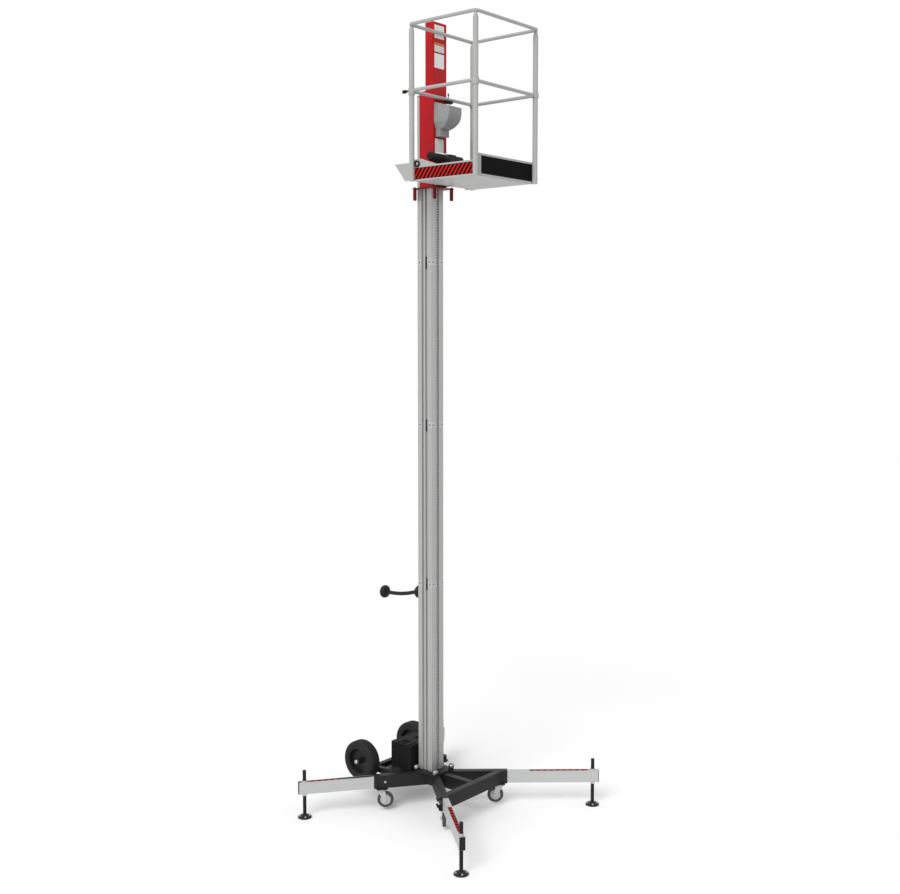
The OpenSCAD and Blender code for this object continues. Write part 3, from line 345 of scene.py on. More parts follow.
def lathe(bm, profile, place, axis, steps=48, material_index=0):
    """Spins a profile of (radius, height) pairs, in metres, about an axis."""
    corners = [bm.verts.new((radius, 0, height)) for radius, height in profile]
    edges = [bm.edges.new(pair) for pair in zip(corners, corners[1:])]
    before = set(bm.faces)
    bmesh.ops.spin(
        bm, geom=corners + edges, cent=(0, 0, 0), axis=(0, 0, 1), dvec=(0, 0, 0),
        angle=ALL_ROUND, steps=steps, use_merge=True)
    faces = [face for face in bm.faces if face not in before]
    for face in faces:
        face.material_index = material_index
    verts = {vert for face in faces for vert in face.verts}
    bmesh.ops.transform(bm, matrix=facing(place, axis), verts=list(verts))


def add_bolt(bm, place, axis, width, height=None, material_index=0):
    """A hex bolt head on its washer; width is the distance across the corners."""
    height = height or width * 0.55
    washer_t = width * 0.14
    at = facing(place, axis)
    radius = width / 2
    rows = (
        (24, radius * 1.25, radius * 1.2, washer_t, washer_t / 2),
        (6, radius, radius, height * 0.85, washer_t + height * 0.425),
        (6, radius, radius * 0.82, height * 0.15, washer_t + height * 0.925))
    for segments, low_r, high_r, depth, middle in rows:
        made = bmesh.ops.create_cone(
            bm, cap_ends=True, segments=segments, radius1=low_r, radius2=high_r, depth=depth,
            matrix=at @ Matrix.Translation((0, 0, middle)))
        for vert in made["verts"]:
            for face in vert.link_faces:
                face.material_index = material_index


def add_block(bm, low, high, rounding=0.0, material_index=0):
    """A block between two corners, with its edges rounded."""
    low = Vector(low)
    high = Vector(high)
    size = Matrix.Diagonal((*(high - low), 1))
    made = bmesh.ops.create_cube(bm, size=1, matrix=Matrix.Translation((low + high) / 2) @ size)
    faces = {face for vert in made["verts"] for face in vert.link_faces}
    if rounding:
        edges = {edge for face in faces for edge in face.edges}
        rounded = bmesh.ops.bevel(
            bm, geom=list(edges), offset=rounding, segments=3, profile=0.5, affect="EDGES", material=-1)
        faces = {face for face in faces if face.is_valid} | set(rounded["faces"])
    for face in faces:
        face.material_index = material_index


def add_strip(bm, origin, along, across, length, width, thickness):
    """A thin strip, with a UV map in metres for stripes that follow it."""
    along = Vector(along).normalized()
    across = Vector(across).normalized()
    normal = along.cross(across)
    frame_of_strip = Matrix((along, across, normal)).transposed().to_4x4()
    frame_of_strip.translation = Vector(origin)
    shape = frame_of_strip @ Matrix.Translation((length / 2, width / 2, 0)) @ Matrix.Diagonal(
        (length, width, 1, 1))
    made = bmesh.ops.create_grid(bm, x_segments=1, y_segments=1, size=0.5, matrix=shape)
    faces = list({face for vert in made["verts"] for face in vert.link_faces})
    raised = bmesh.ops.extrude_face_region(bm, geom=faces, use_keep_orig=True)
    top = [item for item in raised["geom"] if isinstance(item, bmesh.types.BMVert)]
    bmesh.ops.translate(bm, verts=top, vec=normal * thickness)
    layer = bm.loops.layers.uv.get("strip") or bm.loops.layers.uv.new("strip")
    inverse = frame_of_strip.inverted()
    for face in bm.faces:
        for loop in face.loops:
            flat = inverse @ loop.vert.co
            loop[layer].uv = (flat.x, flat.y)


# %% [markdown]
# ## Where things are
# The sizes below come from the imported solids' own boxes. The legs leave the hub at slanting angles, so each
# corner gets the direction of its leg and of the face beside it.

# %% Where things are
hub_low, hub_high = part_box("hub_plate")
HUB = Vector(((hub_low[0] + hub_high[0]) / 2, (hub_low[1] + hub_high[1]) / 2, 0))
PLATE_TOP = hub_high[2]
mast_low, mast_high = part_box("mast_section_1")
MAST = Vector(((mast_low[0] + mast_high[0]) / 2, (mast_low[1] + mast_high[1]) / 2, 0))
MAST_HALF = (mast_high[0] - mast_low[0]) / 2
ARM_LOW_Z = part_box("arm_front_left")[0][2]
ARM_TOP_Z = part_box("arm_front_left")[1][2]
LEG_TOP_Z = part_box("leg_cap_front_left")[1][2]
LEG_LOW_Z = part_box("leg_cap_front_left")[0][2]


def foot_of(corner):
    """The middle of a foot pad, on the ground."""
    low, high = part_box(f"jack_{corner}")
    return Vector(((low[0] + high[0]) / 2, (low[1] + high[1]) / 2, 0))


def leg_line(corner):
    """The leg's direction away from the hub, the direction across it to the left, and its length."""
    run = foot_of(corner) - HUB
    along = run.normalized()
    return along, Vector((-along.y, along.x, 0)), run.length


for corner in CORNERS:
    print(corner, "leg reaches", round(leg_line(corner)[2], 3), "m")

# %% [markdown]
# ## Mast joints
# The mast is bolted together from sections. At each joint a thin machined clip wraps every corner, with flush
# socket screws, and shows as a lighter band. A clip is an L drawn with three vertices, extruded up and given its
# thickness. It stays under half a millimetre proud so that the climbing column's pads pass over it.

# %% Mast joints
CLIP_H = 45 * MM
CLIP_T = 0.4 * MM
SCREW_R = 6.5 * MM
SIDE_LAND = 28 * MM
FRONT_LAND = 18 * MM


def add_corner_clip(bm, side, end, middle_z):
    """An L round one corner of the mast."""
    front_edge = FRONT_LAND if end < 0 else SIDE_LAND
    path = (
        (side * MAST_HALF, end * SIDE_LAND),
        (side * MAST_HALF, end * MAST_HALF),
        (side * front_edge, end * MAST_HALF))
    points = [bm.verts.new((MAST.x + x, MAST.y + y, middle_z - CLIP_H / 2)) for x, y in path]
    edges = [bm.edges.new(pair) for pair in zip(points, points[1:])]
    raised = bmesh.ops.extrude_edge_only(bm, edges=edges)["geom"]
    top = [item for item in raised if isinstance(item, bmesh.types.BMVert)]
    bmesh.ops.translate(bm, verts=top, vec=(0, 0, CLIP_H))


def add_flush_screw(bm, place, axis):
    """A socket screw sunk to its head, drawn as a low ring round a socket."""
    lathe(bm, (
        (0, 0.1 * MM), (SCREW_R * 0.5, 0.1 * MM), (SCREW_R * 0.55, 0.3 * MM),
        (SCREW_R, 0.3 * MM), (SCREW_R, 0)), place, axis, steps=16)


def mast_joints():
    for number in (2, 3, 4):
        joint_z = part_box(f"mast_section_{number}")[0][2]
        clips = bmesh.new()
        screws = bmesh.new()
        for side in (-1, 1):
            for end in (-1, 1):
                add_corner_clip(clips, side, end, joint_z)
                side_y = end * (MAST_HALF + SIDE_LAND) / 2
                front_x = side * (MAST_HALF + SIDE_LAND) / 2
                add_flush_screw(
                    screws, MAST + Vector((side * (MAST_HALF + CLIP_T), side_y, joint_z)), (side, 0, 0))
                add_flush_screw(
                    screws, MAST + Vector((front_x, end * (MAST_HALF + CLIP_T), joint_z)), (0, end, 0))
        bmesh.ops.recalc_face_normals(clips, faces=clips.faces)
        bmesh.ops.solidify(clips, geom=list(clips.faces), thickness=-CLIP_T)
        finish_piece(f"mast_joint_clips_{number}", clips, "base", "mast_aluminium", band_metal)
        finish_piece(f"mast_joint_screws_{number}", screws, "base", "zinc_steel", dark_zinc)
    print("three mast joints")


mast_joints()

# %% [markdown]
# ## Hazard tape
# Red and black tape lies on top of each leg just inside its jack, about 0.46 m long on the front legs and
# 0.25 m on the rear ones, there over a dark strip as long as the leg, and along the entrance's toe board
# between its posts. It is thin enough to slide into the arm with its leg.

# %% Hazard tape
TAPE_T = 0.2 * MM
POST_D = 38 * MM
LEG_TAPE_W = 30 * MM
LEG_TAPE_LEN = {"front": 460 * MM, "rear": 250 * MM}
LEG_TAPE_INSET = 34 * MM
LEG_HALF_W = 21 * MM
JACK_ROOM = 24 * MM
BOARD_TAPE_W = 76 * MM
BOARD_TAPE_UP = 15 * MM
BOARD_TAPE_EDGE = 3 * MM
BEHIND_POST = 5 * MM
STOP_RING = 5 * MM
ARM_HALF_W = 25.5 * MM
toe_low, toe_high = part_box("toe_boards")
posts_low, posts_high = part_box("corner_posts")


def tip_of(node, corner, half_w):
    """How far a tube that lies along a leg's line reaches from the hub, along its middle."""
    low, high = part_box(node)
    along, across, _ = leg_line(corner)
    tip_x = (high[0] if along.x > 0 else -low[0]) - abs(across.x) * half_w
    return tip_x / abs(along.x)


def leg_strips():
    """A dark strip runs along the top of each rear leg and leaves room for its jack."""
    for corner in ("rear_left", "rear_right"):
        along, across, reach = leg_line(corner)
        mouth = tip_of(f"arm_{corner}", corner, ARM_HALF_W)
        bm = bmesh.new()
        for first, last in ((mouth + 2 * MM, reach - JACK_ROOM),
                            (reach + JACK_ROOM, tip_of(f"leg_{corner}", corner, LEG_HALF_W) - MM)):
            if last > first:
                start = HUB + along * first - across * (LEG_TAPE_W / 2)
                add_strip(bm, (start.x, start.y, LEG_TOP_Z), along, across, last - first, LEG_TAPE_W, TAPE_T / 2)
        finish_piece(f"leg_strip_{corner}", bm, f"outrigger_{corner}", None, dark_vinyl)


def leg_tapes():
    for corner in CORNERS:
        along, across, reach = leg_line(corner)
        length = LEG_TAPE_LEN[corner.split("_")[0]]
        start = HUB + along * (reach - LEG_TAPE_INSET - length) - across * (LEG_TAPE_W / 2)
        bm = bmesh.new()
        add_strip(
            bm, (start.x, start.y, LEG_TOP_Z), along, across, length, LEG_TAPE_W, TAPE_T)
        finish_piece(f"leg_tape_{corner}", bm, f"outrigger_{corner}", None, leg_vinyl)


def board_tape():
    """The tape fills the board between its two posts, so it is measured from the posts' own box."""
    rear = posts_high[1] - STOP_RING - POST_D + BEHIND_POST
    front = posts_low[1] + STOP_RING + POST_D - BEHIND_POST
    for name, edge, thickness, material in (
            ("toe_board_tape", 0, TAPE_T, board_vinyl),
            ("toe_board_tape_backing", BOARD_TAPE_EDGE, TAPE_T / 2, black_vinyl)):
        bm = bmesh.new()
        add_strip(
            bm, (toe_low[0], rear, toe_low[2] + BOARD_TAPE_UP - edge), (0, -1, 0), (0, 0, 1), rear - front,
            BOARD_TAPE_W + 2 * edge, thickness)
        finish_piece(name, bm, "carriage", None, material)


leg_strips()
leg_tapes()
board_tape()
print("five strips of tape")

# %% [markdown]
# ## Plates and labels
# A large black plate covers the front toe board, and the climbing column carries five labels, all left blank.
# Each row of the table gives a label's left edge, its top below the column's top, its length and its height, in
# millimetres.

# %% Plates and labels
column_low, column_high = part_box("climbing_column")
motor_low, motor_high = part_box("power_pack")
FACE_Y = column_low[1]
LABEL_T = 0.3 * MM
ACROSS = (1, 0, 0)
UPWARD = (0, 0, 1)


def label(name, place, length, height, material, thickness=LABEL_T):
    """A blank strip on a face that looks forward."""
    bm = bmesh.new()
    add_strip(bm, place, ACROSS, UPWARD, length * MM, height * MM, thickness)
    finish_piece(name, bm, "carriage", None, material)


COLUMN_LABELS = (
    ("column_label_top", -64, 115, 109, 95, white_vinyl),
    ("column_label_grey", -64, 212, 110, 46, grey_vinyl),
    ("column_label_orange", -64, 165, 110, 18, amber_vinyl),
    ("column_label_middle", -64, 328, 109, 104, white_vinyl),
    ("column_label_low", -58, 940, 98, 102, white_vinyl))
for name, left, drop, length, height, material in COLUMN_LABELS:
    label(name, (left * MM, FACE_Y, column_high[2] - drop * MM), length, height, material)
label("front_board_plate", (-0.267, toe_low[1], toe_low[2] + 17 * MM), 600, 123, black_vinyl, 0.8 * MM)
print("six plates and labels")

# %% [markdown]
# ## Casters
# Each caster has a pressed hub on both faces of its wheel, nuts on its axle, and a swivel with two rows of balls
# under a ring. Its top plate is bolted up under the arm at its corners.

# %% Casters
CASTER_HEADING = {"front_left": 40, "front_right": 130, "rear_left": -50, "rear_right": 130}
CASTER_TRAIL = 30 * MM
FORK_HALF = 22 * MM
PLATE_BOLT = 34 * MM
HUB_DISC = tuple((r * MM, h * MM) for r, h in (
    (15, 7.8), (15, 14.6), (22, 14.2), (28, 11.4), (36, 11.4), (39, 13), (40.4, 12), (40.4, 7.8), (15, 7.8)))
RACE = tuple((r * MM, h * MM) for r, h in (
    (28, 0), (35.5, 0), (37.4, 2.4), (37.4, 5), (36, 6.6), (37.4, 8.2), (37.4, 10.6), (35.5, 12.6), (28, 12.6),
    (28, 0)))


def heading_of(corner):
    """The way the caster's wheel trails, and its axle's direction."""
    turn = math.radians(CASTER_HEADING[corner])
    forward = Vector((math.cos(turn), math.sin(turn), 0))
    return forward, Vector((-forward.y, forward.x, 0))


def dress_caster(corner):
    low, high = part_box(f"caster_{corner}")
    middle = (low + high) / 2
    forward, axle = heading_of(corner)
    discs = bmesh.new()
    for side in (-1, 1):
        lathe(discs, HUB_DISC, middle, axle * side, steps=48)
    finish_piece(f"caster_hub_{corner}", discs, f"caster_wheel_{corner}", "grey_rubber", grey_plastic)
    swivel = middle - forward * CASTER_TRAIL
    crown_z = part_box(f"fork_{corner}")[1][2]
    fork = bmesh.new()
    lathe(fork, RACE, (swivel.x, swivel.y, crown_z - 14.2 * MM), (0, 0, 1), steps=48)
    for side in (-1, 1):
        add_bolt(fork, middle + axle * (side * FORK_HALF), axle * side, 20 * MM, 9 * MM)
    finish_piece(f"caster_fittings_{corner}", fork, f"swivel_{corner}", "zinc_steel", zinc)
    along, across, _ = leg_line(corner)
    bolts = bmesh.new()
    for a in (-1, 1):
        for b in (-1, 1):
            place = swivel + along * (a * PLATE_BOLT) + across * (b * PLATE_BOLT)
            place.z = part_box("caster_plates")[0][2]
            add_bolt(bolts, place, (0, 0, -1), 13 * MM)
    finish_piece(f"caster_bolts_{corner}", bolts, "base", "zinc_steel", zinc)


for corner in CORNERS:
    dress_caster(corner)
print("four casters dressed")

# %% [markdown]
# ## Screw jacks
# A jack is a threaded rod with a plain head, standing on a flat foot pad that is bolted to its ball. The thread
# is one outline of a single turn, spun round the rod while it climbs by its pitch.

# %% Screw jacks
ROD_R = 14 * MM
THREAD_PITCH = 6 * MM
THREAD_DEPTH = 2.2 * MM
THREAD_LOW = 22 * MM
HEAD_LEN = 20 * MM
PAD = tuple((r * MM, h * MM) for r, h in (
    (0, 0), (51, 0), (52.5, 1.5), (52.5, 8), (51, 10.6), (48.5, 12), (26, 14.6), (22.5, 16), (20.5, 21),
    (17.5, 25), (12, 26), (0, 26)))


def add_thread(bm, place, low_z, turns, steps=20):
    """A trapezoid thread that climbs from low_z."""
    root = ROD_R - THREAD_DEPTH
    row = ((root, 0), (ROD_R, 0.22), (ROD_R, 0.42), (root, 0.64), (root, 1))
    points = [bm.verts.new((place.x + r, place.y, low_z + up * THREAD_PITCH)) for r, up in row]
    edges = [bm.edges.new(pair) for pair in zip(points, points[1:])]
    bmesh.ops.spin(
        bm, geom=points + edges, cent=place, axis=(0, 0, 1), dvec=(0, 0, THREAD_PITCH / steps),
        angle=turns * ALL_ROUND, steps=turns * steps, use_merge=False)


def dress_jack(corner):
    foot = foot_of(corner)
    top_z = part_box(f"jack_{corner}")[1][2]
    head_z = top_z - HEAD_LEN
    bm = bmesh.new()
    lathe(bm, PAD, foot, (0, 0, 1), steps=64)
    add_thread(bm, foot, THREAD_LOW, round((head_z - THREAD_LOW) / THREAD_PITCH))
    lathe(bm, (
        (0, 0), (ROD_R - 3 * MM, 0), (ROD_R, 3 * MM), (ROD_R, HEAD_LEN - 2 * MM), (ROD_R - 2 * MM, HEAD_LEN),
        (0, HEAD_LEN)), (foot.x, foot.y, head_z), (0, 0, 1))
    piece = finish_piece(f"screw_{corner}", bm, f"screw_jack_{corner}", "black_steel", black_steel)
    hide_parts(f"jack_{corner}")
    along, across, _ = leg_line(corner)
    bolts = bmesh.new()
    for a, b in ((1, 0), (0, 1), (-1, 0), (0, -1)):
        place = foot + along * (a * 38 * MM) + across * (b * 38 * MM)
        add_bolt(bolts, (place.x, place.y, 12.8 * MM), (0, 0, 1), 13 * MM, 6 * MM)
    finish_piece(f"pad_bolts_{corner}", bolts, f"screw_jack_{corner}", "zinc_steel", zinc)


for corner in CORNERS:
    dress_jack(corner)
print("four screw jacks dressed")

# %% [markdown]
# ## Transport wheels
# The tyres are solid rubber with bulging walls and three grooves in the tread. The outline is written as
# fractions of the tyre's depth and half width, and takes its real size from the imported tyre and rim. The
# axle's end is bright and plain.

# %% Transport wheels
WALL = (
    (0.0, 0.9), (0.06, 0.996), (0.23, 0.97), (0.46, 1.0), (0.65, 0.996), (0.81, 0.92), (0.92, 0.79),
    (0.98, 0.64))
GROOVES = (-0.4, 0.0, 0.4)
GROOVE_HALF = 2.2 * MM
GROOVE_DEPTH = 3.8 * MM
AXLE_END_R = 14 * MM
AXLE_END_LEN = 16 * MM


def tyre_outline(inner_r, outer_r, half_w):
    """The closed outline of a tyre as (radius, distance from the middle)."""
    depth = outer_r - inner_r
    wall = [(inner_r + deep * depth, -wide * half_w) for deep, wide in WALL]
    tread = []
    for share in GROOVES:
        middle = share * half_w
        root = outer_r - GROOVE_DEPTH
        tread += [
            (outer_r, middle - GROOVE_HALF - MM), (root, middle - GROOVE_HALF),
            (root, middle + GROOVE_HALF), (outer_r, middle + GROOVE_HALF + MM)]
    back = [(r, -h) for r, h in reversed(wall)]
    return wall + tread + back + [wall[0]]


def dress_wheel(name, side):
    low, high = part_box(f"tyre_{name}")
    rim_low, rim_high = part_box(f"rim_{name}")
    middle = (low + high) / 2
    out = Vector((side, 0, 0))
    outline = tyre_outline((rim_high[2] - rim_low[2]) / 2, (high[2] - low[2]) / 2, (high[0] - low[0]) / 2)
    tyre = bmesh.new()
    lathe(tyre, outline, middle, out, steps=96)
    piece = finish_piece(f"tyre_tread_{name}", tyre, f"transport_wheel_{name}", "tyre_rubber", tyre_rubber)
    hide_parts(f"tyre_{name}")
    frame_low, frame_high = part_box("wheel_frame")
    tip = Vector(((frame_low if side < 0 else frame_high)[0], middle.y, middle.z))
    cap = bmesh.new()
    r = AXLE_END_R
    lathe(cap, (
        (0, 0.6 * MM), (r - 2 * MM, 0.6 * MM), (r, -1.4 * MM), (r, -AXLE_END_LEN), (0, -AXLE_END_LEN)),
        tip, out, steps=40)
    finish_piece(f"axle_end_{name}", cap, "base", "zinc_steel", zinc)


for name, side in (("left", -1), ("right", 1)):
    dress_wheel(name, side)
print("two transport wheels dressed")

# %% [markdown]
# ## Bolts on the base
# Black hex bolts hold the base plate to the hub. On the rear arms a bright pin head shows opposite the lock
# pin's handle, and a small screw sits beside each jack on its leg.

# %% Bolts on the base
PIN_INSET = 86 * MM
PIN_UP = 44 * MM
SCREW_INSET = 66 * MM
SCREW_UP = 74 * MM


def base_bolts():
    bm = bmesh.new()
    for x, y in ((-60, 101), (60, 101), (-60, -101), (60, -101), (-101, 50), (-101, -50), (101, 50)):
        add_bolt(bm, (HUB.x + x * MM, HUB.y + y * MM, PLATE_TOP), (0, 0, 1), 15 * MM)
    finish_piece("base_bolts", bm, "base", "black_steel", black_steel)


def pin_heads():
    bm = bmesh.new()
    for corner in ("rear_left", "rear_right"):
        along, across, _ = leg_line(corner)
        side = 1 if corner.endswith("left") else -1
        face = HUB + along * (tip_of(f"arm_{corner}", corner, ARM_HALF_W) - PIN_INSET) + across * (side * ARM_HALF_W)
        lathe(bm, [(r * MM, h * MM) for r, h in ((0, 3.4), (4, 3.4), (8.5, 2.2), (9, 0))],
              (face.x, face.y, LEG_LOW_Z + PIN_UP), across * side, steps=24)
    finish_piece("pin_heads", bm, "base", "zinc_steel", zinc)


def leg_screws():
    for corner in CORNERS:
        along, across, reach = leg_line(corner)
        bm = bmesh.new()
        for way in (-1, 1):
            place = HUB + along * (reach - SCREW_INSET) + across * (way * 21 * MM)
            add_bolt(bm, (place.x, place.y, LEG_LOW_Z + SCREW_UP), across * way, 11 * MM, 4 * MM)
        finish_piece(f"leg_screws_{corner}", bm, f"outrigger_{corner}", "zinc_steel", zinc)


def battery_caps():
    """Two rows of low caps on the battery box's lid."""
    low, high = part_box("battery_box")
    bm = bmesh.new()
    for from_side in (28, 78):
        for from_rear in (68, 118, 172):
            x = low[0] + from_side * MM
            y = high[1] - from_rear * MM
            add_block(
                bm, (x - 22 * MM, y - 7 * MM, high[2] - MM), (x + 22 * MM, y + 7 * MM, high[2] + 4 * MM),
                1.5 * MM)
    finish_piece("battery_caps", bm, "base", "black_plastic", black_vinyl)


base_bolts()
pin_heads()
leg_screws()
battery_caps()
print("bolts on the base, caps on the battery")

# %% [markdown]
# ## Drive motor, cover and flange
# The motor's casing has cooling ribs and a blank type plate; its box is closed by small screws. Two screws hold
# each side of the cover, and round flanged bolts hold the flange under the column.

# %% Drive motor, cover and flange
cover_low, cover_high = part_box("drive_cover")
flange_low, flange_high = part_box("bottom_flange")
MOTOR_R = 34 * MM
MOTOR_OUT = 73 * MM
GEARBOX_END = 61 * MM
PLATE_LEAN = math.radians(50)
RIB = tuple((r * MM, h * MM) for r, h in ((30, -1.6), (35.4, -1.2), (35.8, 0), (35.4, 1.2), (30, 1.6), (30, -1.6)))


def motor_axis():
    """The end of the motor and the middle of its casing, from the lump's own box."""
    return Vector((motor_low[0], FACE_Y - MOTOR_OUT, motor_high[2] - MOTOR_R))


def dress_motor():
    end = motor_axis()
    ribs = bmesh.new()
    for number in range(9):
        lathe(ribs, RIB, end + Vector(((44 + number * 13) * MM, 0, 0)), (1, 0, 0), steps=48)
    finish_piece("motor_ribs", ribs, "carriage", "black_plastic", black_plastic)
    plate = bmesh.new()
    outward = Vector((0, -math.cos(PLATE_LEAN), math.sin(PLATE_LEAN)))
    upward = Vector((0, math.sin(PLATE_LEAN), math.cos(PLATE_LEAN)))
    corner = end + Vector((37 * MM, 0, 0)) + outward * (35.7 * MM) - upward * (9 * MM)
    add_strip(plate, corner, ACROSS, upward, 117 * MM, 18 * MM, 0.6 * MM)
    finish_piece("motor_plate", plate, "carriage", None, white_vinyl)
    guard = bmesh.new()
    for radius in (9, 17, 25):
        lathe(guard, [(r * MM, h * MM) for r, h in (
            (radius - 1.2, -1), (radius - 1.2, 1.2), (radius + 1.2, 1.2), (radius + 1.2, -1), (radius - 1.2, -1))],
            end, (-1, 0, 0), steps=40)
    finish_piece("motor_guard", guard, "carriage", "black_plastic", black_plastic)
    screws = bmesh.new()
    for y in (-26, 26):
        for z in (-26, 26):
            place = Vector((GEARBOX_END - 0.2 * MM, end.y + y * MM, end.z + z * MM))
            add_bolt(screws, place, (1, 0, 0), 8 * MM)
    finish_piece("gearbox_screws", screws, "carriage", "zinc_steel", zinc)


def cover_screws():
    bm = bmesh.new()
    for side in (-1, 1):
        x = side * (cover_high[0] - cover_low[0]) / 2
        for back, up in ((12, 120), (12, 225)):
            add_bolt(bm, (x, FACE_Y - back * MM, cover_low[2] + up * MM), (side, 0, 0), 9 * MM, 3 * MM)
    finish_piece("cover_screws", bm, "carriage", "zinc_steel", zinc)


def flange_bolts():
    bm = bmesh.new()
    middle_y = (flange_low[1] + flange_high[1]) / 2
    for x in (-1, 1):
        for y in (-1, 1):
            lathe(bm, [(r * MM, h * MM) for r, h in ((0, 9), (6, 9), (9, 6), (9, 3), (15, 2.6), (16, 0))],
                  (x * 97 * MM, middle_y + y * 97 * MM, flange_high[2]), (0, 0, 1), steps=24)
    # painted shade: the flange bolts take the darker red for the shadow under the platform
    finish_piece("flange_bolts", bm, "carriage", "red_steel", painted_shade_red)


dress_motor()
cover_screws()
flange_bolts()
print("motor, cover and flange dressed")

# %% [markdown]
# ## Platform fittings
# Each collar is drawn tight by a bolt through an ear. Each post is bolted at its foot, and the round latch has a
# bright ring.

# %% Platform fittings
rails_low, rails_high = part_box("mid_rails")
bar_low, bar_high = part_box("entry_bar")
ring_low, ring_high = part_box("ring_latch")
POST_R = 19 * MM
POST_X = posts_high[0] - POST_R
POST_REAR = posts_high[1] - STOP_RING - POST_R
POST_FRONT = posts_low[1] + STOP_RING + POST_R
COLLAR_R = POST_R + STOP_RING


def collar_ear(bm, x, y, z, way):
    """Two lips on the outside of a collar, which a bolt passes through; way is the side it looks to."""
    out = x + way * (COLLAR_R + 6 * MM)
    low_x, high_x = sorted((x + way * (COLLAR_R - 3 * MM), out))
    for edge in (-1, 1):
        inner, outer = sorted((y + edge * 1.2 * MM, y + edge * 6 * MM))
        add_block(bm, (low_x, inner, z - 12 * MM), (high_x, outer, z + 12 * MM), 1.2 * MM)


def platform_fittings():
    ears = bmesh.new()
    bolts = bmesh.new()
    mid_z = (rails_low[2] + rails_high[2]) / 2
    for y in (POST_FRONT, POST_REAR):
        collar_ear(ears, POST_X, y, mid_z, 1)
        add_bolt(bolts, (POST_X + COLLAR_R + 2 * MM, y - 6 * MM, mid_z), (0, -1, 0), 8 * MM)
        way = -1 if y < 0 else 1
        for x in (-POST_X, POST_X):
            add_bolt(bolts, (x, y + way * POST_R, posts_low[2] + 42 * MM), (0, way, 0), 9 * MM, 4 * MM)
    finish_piece("collar_ears", ears, "carriage", "grey_paint", grey_steel)
    finish_piece("platform_bolts", bolts, "carriage", "zinc_steel", zinc)
    ring = bmesh.new()
    middle = (ring_low + ring_high) / 2
    lathe(ring, [(r * MM, h * MM) for r, h in ((0, 3), (6, 3.2), (11, 1.5), (13.5, -1), (0, -1))],
          (ring_low[0] + 8 * MM, middle.y, middle.z), (-1, 0, 0), steps=40)
    finish_piece("latch_ring", ring, "carriage", "zinc_steel", zinc)


platform_fittings()
print("platform fittings")

# %% [markdown]
# ## Checker plate
# The platform's floor is a sheet with raised lozenges, which alternate in direction so that a shoe grips either
# way. One lozenge is a low six-sided bump; its outline is repeated over the whole floor.

# %% Checker plate
floor_low, floor_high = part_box("platform_floor")
LOZENGE = ((-11, 0), (-5, -2.6), (5, -2.6), (11, 0), (5, 2.6), (-5, 2.6))
STEP = 30 * MM


def add_lozenge(bm, x, y, z, turn):
    rows = []
    for scale, up in ((1.0, 0.0), (0.62, 1.2 * MM)):
        rows.append([
            bm.verts.new((
                x + scale * MM * (a * math.cos(turn) - b * math.sin(turn)),
                y + scale * MM * (a * math.sin(turn) + b * math.cos(turn)), z + up))
            for a, b in LOZENGE])
    lower, upper = rows
    for index in range(len(LOZENGE)):
        after = (index + 1) % len(LOZENGE)
        bm.faces.new((lower[index], lower[after], upper[after], upper[index]))
    bm.faces.new(upper)


def checker_plate():
    bm = bmesh.new()
    count_x = int((floor_high[0] - floor_low[0] - 30 * MM) / STEP)
    count_y = int((floor_high[1] - floor_low[1] - 30 * MM) / STEP)
    middle = (floor_low + floor_high) / 2
    for i in range(count_x):
        for j in range(count_y):
            x = middle.x + (i - (count_x - 1) / 2) * STEP
            y = middle.y + (j - (count_y - 1) / 2) * STEP
            add_lozenge(bm, x, y, floor_high[2] - 0.05 * MM, math.radians(45 if (i + j) % 2 else -45))
    finish_piece("checker_lozenges", bm, "carriage", "grey_paint", grey_steel)
    print(count_x * count_y, "lozenges")


checker_plate()

# %% [markdown]
# ## The studio
# The photograph has a white ground and soft light from the left. The camera stands where a fit to the
# photograph put it. The floor is pale, and for the camera it glows a little so that it meets the white
# background without an edge, while it still takes the shadows.

# %% Camera, light and floor
CAMERA_PLACE = Vector((-6.98880081, -5.82933836, 3.65166037))
CAMERA_TURN = math.radians(-50.1467)
CAMERA_DIP = math.radians(5.1909)
FOCAL_MM = 48.589


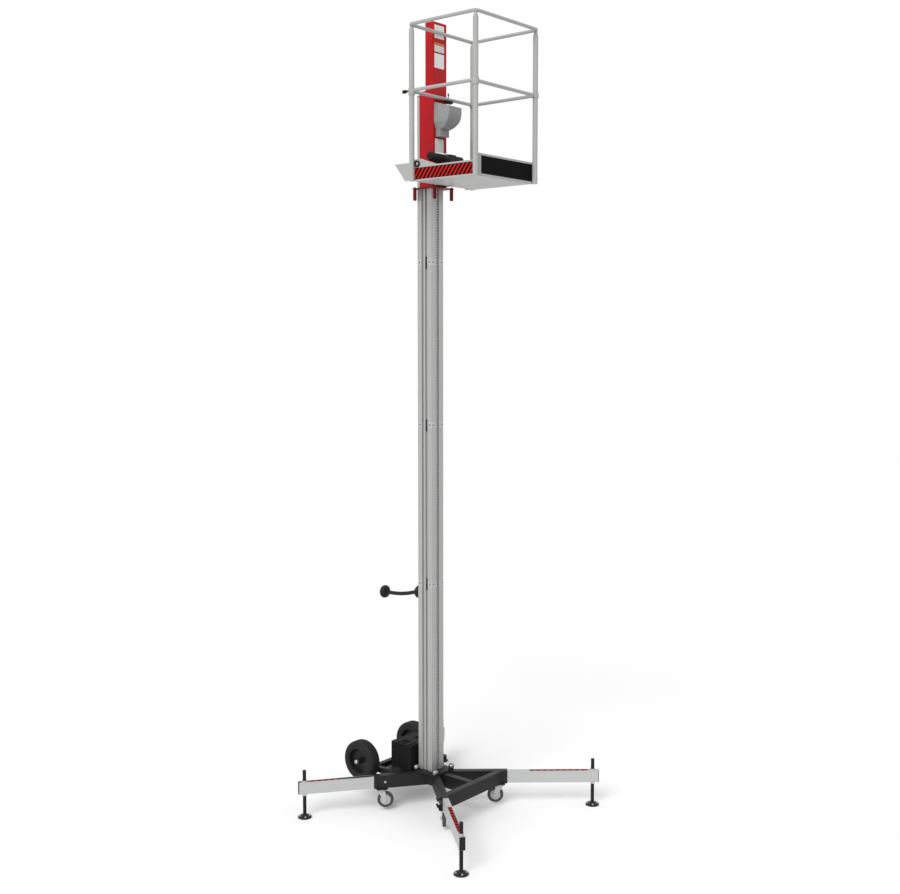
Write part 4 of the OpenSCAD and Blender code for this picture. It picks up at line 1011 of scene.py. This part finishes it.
def add_camera():
    """The camera looks level across at CAMERA_TURN and dips by CAMERA_DIP."""
    camera = bpy.data.objects.new("camera", bpy.data.cameras.new("camera"))
    bpy.context.scene.collection.objects.link(camera)
    back = Vector((
        math.sin(CAMERA_TURN) * math.cos(CAMERA_DIP),
        -math.cos(CAMERA_TURN) * math.cos(CAMERA_DIP),
        math.sin(CAMERA_DIP)))
    right = Vector((math.cos(CAMERA_TURN), math.sin(CAMERA_TURN), 0))
    turn = Matrix((right, back.cross(right), back)).transposed()
    camera.matrix_world = Matrix.Translation(CAMERA_PLACE) @ turn.to_4x4()
    camera.data.lens = FOCAL_MM
    camera.data.sensor_width = 36
    camera.data.clip_end = 100
    bpy.context.scene.camera = camera


def add_sun(name, toward, strength, spread):
    """A soft sun that shines from the given direction."""
    sun = bpy.data.objects.new(name, bpy.data.lights.new(name, "SUN"))
    sun.data.energy = strength
    sun.data.angle = math.radians(spread)
    sun.rotation_euler = Vector(toward).to_track_quat("Z", "Y").to_euler()
    bpy.context.scene.collection.objects.link(sun)


def add_world():
    """An even pale sky that lights the object, and plain white for the camera and in reflections."""
    world = bpy.data.worlds.new("studio")
    bpy.context.scene.world = world
    world.use_nodes = True
    tree = world.node_tree
    background = tree.nodes["Background"]
    path = add_node(tree, "ShaderNodeLightPath")
    seen = add_node(
        tree, "ShaderNodeMath", {"operation": "MAXIMUM"},
        {0: path.outputs["Is Camera Ray"], 1: path.outputs["Is Glossy Ray"]})
    strength = add_node(
        tree, "ShaderNodeMapRange", {"To Min": 0.6, "To Max": 1.0}, {"Value": seen.outputs["Value"]})
    background.inputs["Color"].default_value = (1, 1, 1, 1)
    tree.links.new(strength.outputs["Result"], background.inputs["Strength"])


def add_floor():
    """A wide pale floor that takes the object's shadow."""
    bm = bmesh.new()
    bmesh.ops.create_grid(bm, x_segments=1, y_segments=1, size=40)
    mesh = bpy.data.meshes.new("floor")
    bm.to_mesh(mesh)
    bm.free()
    floor = bpy.data.objects.new("floor", mesh)
    bpy.context.scene.collection.objects.link(floor)
    material, tree, shader, _ = start_material("Studio floor, matt white", "#F7F7F7", 0.0, 0.9)
    path = add_node(tree, "ShaderNodeLightPath")
    glow = add_node(
        tree, "ShaderNodeMath", {"operation": "MULTIPLY", 1: 0.08}, {0: path.outputs["Is Camera Ray"]})
    shader.inputs["Emission Color"].default_value = (1, 1, 1, 1)
    tree.links.new(glow.outputs["Value"], shader.inputs["Emission Strength"])
    floor.data.materials.append(material)


add_camera()
add_sun("key light", (-0.85, -0.25, 0.75), 2.0, 34)
add_world()
add_floor()
scene = bpy.context.scene
scene.view_settings.view_transform = "Standard"
print("camera at", [round(v, 3) for v in CAMERA_PLACE])
